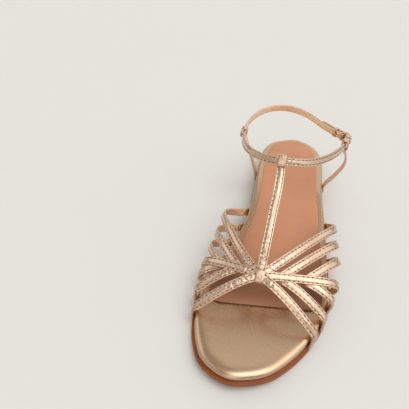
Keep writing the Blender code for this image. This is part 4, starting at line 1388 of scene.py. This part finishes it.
def buckle_metal(tree, shader, colours):
    """Die-cast zinc under a polished light-gold plate, with faint wear."""
    set_sockets(tree, shader, {"Roughness": remap(tree, grain(tree, 0.002, 3.0), 0.1, 0.24)},
                {"Base Color": rgba(colours.metal), "Metallic": 1.0})


MATERIAL_NAMES = {
    foil_leather: "champagne foil leather",
    strap_lining: "peach lining leather",
    footbed_leather: "satin footbed leather",
    sock_leather: "matte sock leather",
    sole_leather: "burnished sole leather",
    stitch_thread: "champagne thread",
    needle_hole: "raw leather with painted hole shade",
    buckle_metal: "light-gold plate",
}


def shared(maker):
    """Material of a maker function, made once."""
    name = MATERIAL_NAMES[maker]
    material = bpy.data.materials.get(name)
    if material is None:
        material, tree, shader = new_material(name)
        maker(tree, shader, settings().colours)
    return material


class SANDAL_OT_outsole(bpy.types.Operator):
    """Build the outsole and the heel block"""

    bl_idname = "sandal.outsole"
    bl_label = "Outsole and heel"

    def execute(self, context):
        line = [(inset, -context.scene.sandal.sole.ledge_groove / MM) for inset in LINE_INSETS]
        levels = [(inset, above(outsole_bottom, rise), 0.0) for inset, rise in OUTSOLE_FOOT]
        levels += [(inset, above(ledge_height, rise), 0.0)
                   for inset, rise in (*OUTSOLE_TOP, *line, *LEDGE_TOP)]
        bm = bmesh.new()
        sole_layer(bm, levels)
        finish_piece("outsole_leather", bm, (sole_leather,), "tan_leather", "outsole")
        levels = [(HEEL_INSET + inset, above(ground, rise), 0.0) for inset, rise in HEEL_EDGE]
        bm = bmesh.new()
        sole_layer(bm, levels, {LATERAL: HEEL_BREAST, MEDIAL: HEEL_BREAST})
        finish_piece("heel_lift", bm, (sole_leather,), "tan_leather", "heel_block")
        return {'FINISHED'}


class SANDAL_OT_footbed(bpy.types.Operator):
    """Build the wrapped footbed"""

    bl_idname = "sandal.footbed"
    bl_label = "Footbed"

    def execute(self, context):
        levels = [(inside(footbed_margin, inset), above(ledge_height, rise), 0.0)
                  for inset, rise in FOOTBED_FOOT]
        levels += [(*footbed_edge(turn), 0.0) for turn in np.linspace(0.0, math.pi / 2.0, EDGE_TURNS)]
        bm = bmesh.new()
        sole_layer(bm, levels)
        finish_piece("footbed_wrap", bm, (footbed_leather,), "metallic_leather", "footbed")
        return {'FINISHED'}


class SANDAL_OT_sock(bpy.types.Operator):
    """Build the sock lining"""

    bl_idname = "sandal.sock"
    bl_label = "Sock lining"

    def execute(self, context):
        sole = context.scene.sandal.sole
        corner = sole.sock_corner / MM
        top = above(footbed_top, sole.sock_thickness / MM)
        levels = [(inside(sock_margin, inset), above(height, rise), corner)
                  for height, rows in ((footbed_top, SOCK_FOOT), (top, SOCK_TOP)) for inset, rise in rows]
        bm = bmesh.new()
        sole_layer(bm, levels, SOCK_FRONT)
        finish_piece("sock_leather", bm, (sock_leather,), "sock_leather", "sock_lining")
        return {'FINISHED'}


class SANDAL_OT_upper(bpy.types.Operator):
    """Build the vamp straps, the knot band and the T-strap, with their stitches"""

    bl_idname = "sandal.upper"
    bl_label = "Upper straps"

    def execute(self, context):
        width = context.scene.sandal.straps.width / MM
        bm = bmesh.new()
        rows = ([], [])
        straps = [(vamp_path(*row), SPINE_TUCK + width / 2.0) for row in VAMP_STRAPS]
        straps += [(spine_path(side), BAND_WIDTH / 2.0) for side in (LATERAL, MEDIAL)]
        for course, first in straps:
            path, facing = draped_path(*course)
            strap_piece(bm, path, facing, width, seats=("end",), crinkle=knot_crinkle(path))
            add_rows(rows, stitch_rows(path, facing, width, first, arc_lengths(path)[-1] - FOOT_BARE))
        knot_band(bm)
        path, facing = t_strap(bm, width)
        add_rows(rows, stitch_rows(path, facing, width, BAND_LENGTH / 2.0, arc_lengths(path)[-1]))
        finish_straps("vamp_straps", bm, "upper_straps")
        stitch_pieces("vamp", rows)
        return {'FINISHED'}


class SANDAL_OT_ankle_strap(bpy.types.Operator):
    """Build the ankle strap with its eye and stitches"""

    bl_idname = "sandal.ankle_strap"
    bl_label = "Ankle strap"

    def execute(self, context):
        width = context.scene.sandal.straps.ankle_width / MM
        path, facing = ankle_path()
        lengths = arc_lengths(path)
        into_tip = np.clip((lengths - lengths[-1] + TIP_LENGTH) / TIP_LENGTH, 0.0, TIP_CUT)
        spread = np.sqrt(1.0 - into_tip**2)
        front = np.linalg.norm(path - ring_point(FRONT_DISTANCE), axis=1)
        bm = bmesh.new()
        crinkle = (front, 1.0 - smoothstep(front, *ANKLE_FADE))
        strap_piece(bm, path, facing, width, spread=spread, crinkle=crinkle)
        origin, axes = buckle_axes()
        eye_inner = buckle_sizes()["eye_inner"]
        side_width = (width - PRONG_SLOT) / 2.0
        for sign in (-1.0, 1.0):
            middle = origin + axes[2] * sign * (PRONG_SLOT + side_width) / 2.0
            loop_band(bm, middle, (axes[2], axes[0], axes[1]), eye_inner, eye_inner, side_width, EYE_WALL,
                      eye_inner)
        finish_straps("ankle_strap_leather", bm, "ankle_strap")
        stitch_pieces("ankle", stitch_rows(path, facing, width, EYE_BARE, lengths[-1] - TIP_LENGTH))
        return {'FINISHED'}


class SANDAL_OT_stays(bpy.types.Operator):
    """Build the upright stays with their loops"""

    bl_idname = "sandal.stays"
    bl_label = "Heel stays"

    def execute(self, context):
        for name, side in (("stay_medial", MEDIAL), ("stay_lateral", LATERAL)):
            bm = bmesh.new()
            stay(bm, side)
            finish_straps(name + "_leather", bm, name)
        return {'FINISHED'}


class SANDAL_OT_buckle(bpy.types.Operator):
    """Build the buckle's frame, prong and keeper"""

    bl_idname = "sandal.buckle"
    bl_label = "Buckle"

    def execute(self, context):
        self.frame_wire()
        self.prong()
        self.keeper()
        return {'FINISHED'}

    def frame_wire(self):
        """Rounded wire frame, tilted so that its front bar lies over the strap."""
        sizes = buckle_sizes()
        radius = sizes["wire"] / 2.0
        lean = math.atan2(sizes["front_bar"] - sizes["bar"], BUCKLE_LENGTH)
        middle = BUCKLE_LENGTH / 2.0 / math.cos(lean)
        half = (BUCKLE_INNER_HEIGHT + sizes["wire"]) / 2.0
        flat, _ = racetrack(middle, half, BUCKLE_CORNER)
        points = [in_buckle((ahead + middle) * math.cos(lean), (ahead + middle) * math.sin(lean), up)
                  for ahead, up in flat]
        _, axes = buckle_axes()
        face = math.cos(lean) * axes[1] - math.sin(lean) * axes[0]
        turn = np.linspace(0.0, 2.0 * math.pi, WIRE_POINTS, endpoint=False)
        profile = radius * np.column_stack([np.cos(turn), np.sin(turn)])
        bm = bmesh.new()
        rows = sweep(np.array(points), np.tile(face, (len(points), 1)), profile, closed=True)
        grid_surface(bm, rows, wrap_along=True)
        finish_piece("buckle_wire", bm, (buckle_metal,), "buckle_metal", "buckle_frame")

    def prong(self):
        """Prong rolled round the rear bar, its tip over the front bar."""
        sizes = buckle_sizes()
        _, axes = buckle_axes()
        points = []
        normals = []
        for turn in np.linspace(PRONG_ROLL, 90.0, PRONG_ROLL_STEPS):
            ahead = math.cos(math.radians(turn))
            out = math.sin(math.radians(turn))
            points.append(in_buckle(sizes["eye_inner"] * ahead, sizes["eye_inner"] * out, 0.0))
            normals.append(ahead * axes[0] + out * axes[1])
        tip_out = sizes["front_bar"] - sizes["bar"] + sizes["wire"] / 2.0
        for share in np.linspace(*PRONG_REACH, PRONG_STEPS):
            out = sizes["eye_inner"] * (1.0 - share) + tip_out * share
            points.append(in_buckle(BUCKLE_LENGTH * share, out, 0.0))
            normals.append(axes[1])
        profile, _, _ = strap_profile(PRONG_WIDTH, PRONG_THICKNESS)
        spread = np.ones(len(points))
        spread[-len(PRONG_TAPER):] = PRONG_TAPER
        bm = bmesh.new()
        grid_surface(bm, sweep(np.array(points), np.array(normals), profile, spread=spread))
        close_ends(bm)
        finish_piece("buckle_pin", bm, (buckle_metal,), "buckle_metal", "buckle_prong")

    def keeper(self):
        """Leather loop round the strap and its free end, behind the buckle."""
        straps = settings().straps
        point, along, normal, across = ring_frame(EYE_DISTANCE + KEEPER_DISTANCE)
        depth = buckle_sizes()["free_end"] + straps.thickness / MM
        half_across = straps.ankle_width / MM / 2.0 + KEEPER_CLEARANCE
        bm = bmesh.new()
        loop_band(bm, point + normal * depth / 2.0, (along, across, normal), half_across,
                  depth / 2.0 + KEEPER_CLEARANCE, KEEPER_WIDTH, KEEPER_WALL)
        finish_straps("keeper_loop", bm, "buckle_keeper")


# Camera of the photograph: place in the shoe's frame in millimetres, turn in degrees, lens
CAMERA_PLACE = (14.46, -245.89, 251.97)
CAMERA_PITCH = 48.57
CAMERA_TURN = 15.889
CAMERA_LENS = 38.97
CAMERA_SENSOR = 36.0
FLOOR_HALF = 30.0

# Light: direction of the key light, patches of light in the room as a direction with the cosines of
# their outer and inner edge, and the tint of the room
KEY_SOURCE = (0.3, 0.0, 0.95)
PATCHES = (
    ("softbox", (0.36, -0.11, 0.93), 0.79, 0.91),
    ("window", (0.86, 0.04, 0.5), 0.76, 0.95),
    ("front", (0.0, -0.88, 0.47), 0.85, 0.97),
    ("backdrop", (0.12, 0.92, 0.38), 0.75, 0.97),
    ("side", (-0.8, 0.33, 0.5), 0.92, 0.98),
    ("left", (-0.75, -0.25, 0.61), 0.9, 0.97),
)
ROOM_COLOUR = "#FFF1DC"


class SANDAL_OT_stage(bpy.types.Operator):
    """Build the plain floor, the soft light and the camera"""

    bl_idname = "sandal.stage"
    bl_label = "Stage"

    def execute(self, context):
        self.floor()
        self.lights(context)
        self.camera(context)
        context.scene.view_settings.view_transform = 'Standard'
        return {'FINISHED'}

    def floor(self):
        """Plain pale floor."""
        material, tree, shader = new_material("matte studio floor")
        set_sockets(tree, shader, {}, {"Base Color": rgba(settings().colours.floor), "Roughness": 0.9})
        bm = bmesh.new()
        bmesh.ops.create_grid(bm, x_segments=1, y_segments=1, size=FLOOR_HALF)
        mesh = bpy.data.meshes.new("studio_floor")
        bm.to_mesh(mesh)
        bm.free()
        floor = bpy.data.objects.new("studio_floor", mesh)
        floor.data.materials.append(material)
        bpy.context.scene.collection.objects.link(floor)

    def lights(self, context):
        """Soft key light in a pale room with brighter patches overhead and on its walls."""
        stage = context.scene.sandal.stage
        lamp = bpy.data.lights.new("key", 'SUN')
        lamp.energy = stage.key
        lamp.angle = stage.key_spread
        thing = bpy.data.objects.new("key", lamp)
        thing.rotation_euler = (-Vector(KEY_SOURCE)).to_track_quat('-Z', 'Y').to_euler()
        context.scene.collection.objects.link(thing)
        world = bpy.data.worlds.new("studio room")
        world.use_nodes = True
        context.scene.world = world
        tree = world.node_tree
        spot = add_node(tree, "TexCoord")
        light = add_node(tree, "VectorMath", None, {0: linear(ROOM_COLOUR), "Scale": stage.room},
                         operation='SCALE').outputs[0]
        for name, source, outer, inner in PATCHES:
            facing = add_node(tree, "VectorMath", {0: spot.outputs["Generated"]}, {1: source},
                              operation='DOT_PRODUCT').outputs["Value"]
            patch = remap(tree, facing, 0.0, getattr(stage, name), (outer, inner),
                          interpolation_type='SMOOTHSTEP')
            light = add_node(tree, "VectorMath", {0: light, 1: patch}, operation='ADD').outputs[0]
        tree.links.new(light, tree.nodes["Background"].inputs["Color"])

    def camera(self, context):
        """Camera at the photograph's angle."""
        camera = bpy.data.cameras.new("camera")
        camera.sensor_width = CAMERA_SENSOR
        camera.lens = CAMERA_LENS
        thing = bpy.data.objects.new("camera", camera)
        thing.location = TO_FRAME @ Vector(CAMERA_PLACE)
        thing.rotation_euler = (math.radians(CAMERA_PITCH), 0.0, math.radians(CAMERA_TURN))
        context.scene.collection.objects.link(thing)
        context.scene.camera = thing


OPERATORS = (
    SANDAL_OT_outsole,
    SANDAL_OT_footbed,
    SANDAL_OT_sock,
    SANDAL_OT_upper,
    SANDAL_OT_ankle_strap,
    SANDAL_OT_stays,
    SANDAL_OT_buckle,
    SANDAL_OT_stage,
)


class SANDAL_PT_sidebar(bpy.types.Panel):
    """Pieces and settings of the sandal"""

    bl_idname = "SANDAL_PT_sidebar"
    bl_label = "Strappy Sandal"
    bl_space_type = 'VIEW_3D'
    bl_region_type = 'UI'
    bl_category = "Sandal"

    def draw(self, context):
        for operator in OPERATORS:
            self.layout.operator(operator.bl_idname)
        for group in ("straps", "sole", "buckle", "colours", "stage"):
            box = self.layout.box()
            box.label(text=group.title())
            values = getattr(context.scene.sandal, group)
            for key in values.bl_rna.properties.keys():
                if key not in {"name", "rna_type"}:
                    box.prop(values, key)


CLASSES = (SandalStraps, SandalSole, SandalBuckle, SandalColours, SandalStage, SandalSettings,
           *OPERATORS, SANDAL_PT_sidebar)


def register():
    """Register the classes and the scene's settings."""
    for item in CLASSES:
        bpy.utils.register_class(item)
    bpy.types.Scene.sandal = PointerProperty(type=SandalSettings)


def unregister():
    """Remove the settings and the classes."""
    del bpy.types.Scene.sandal
    for item in reversed(CLASSES):
        bpy.utils.unregister_class(item)


def main():
    """Build every piece in order."""
    register()
    for operator in OPERATORS:
        group, name = operator.bl_idname.split(".")
        getattr(getattr(bpy.ops, group), name)()


if __name__ == "__main__":
    main()
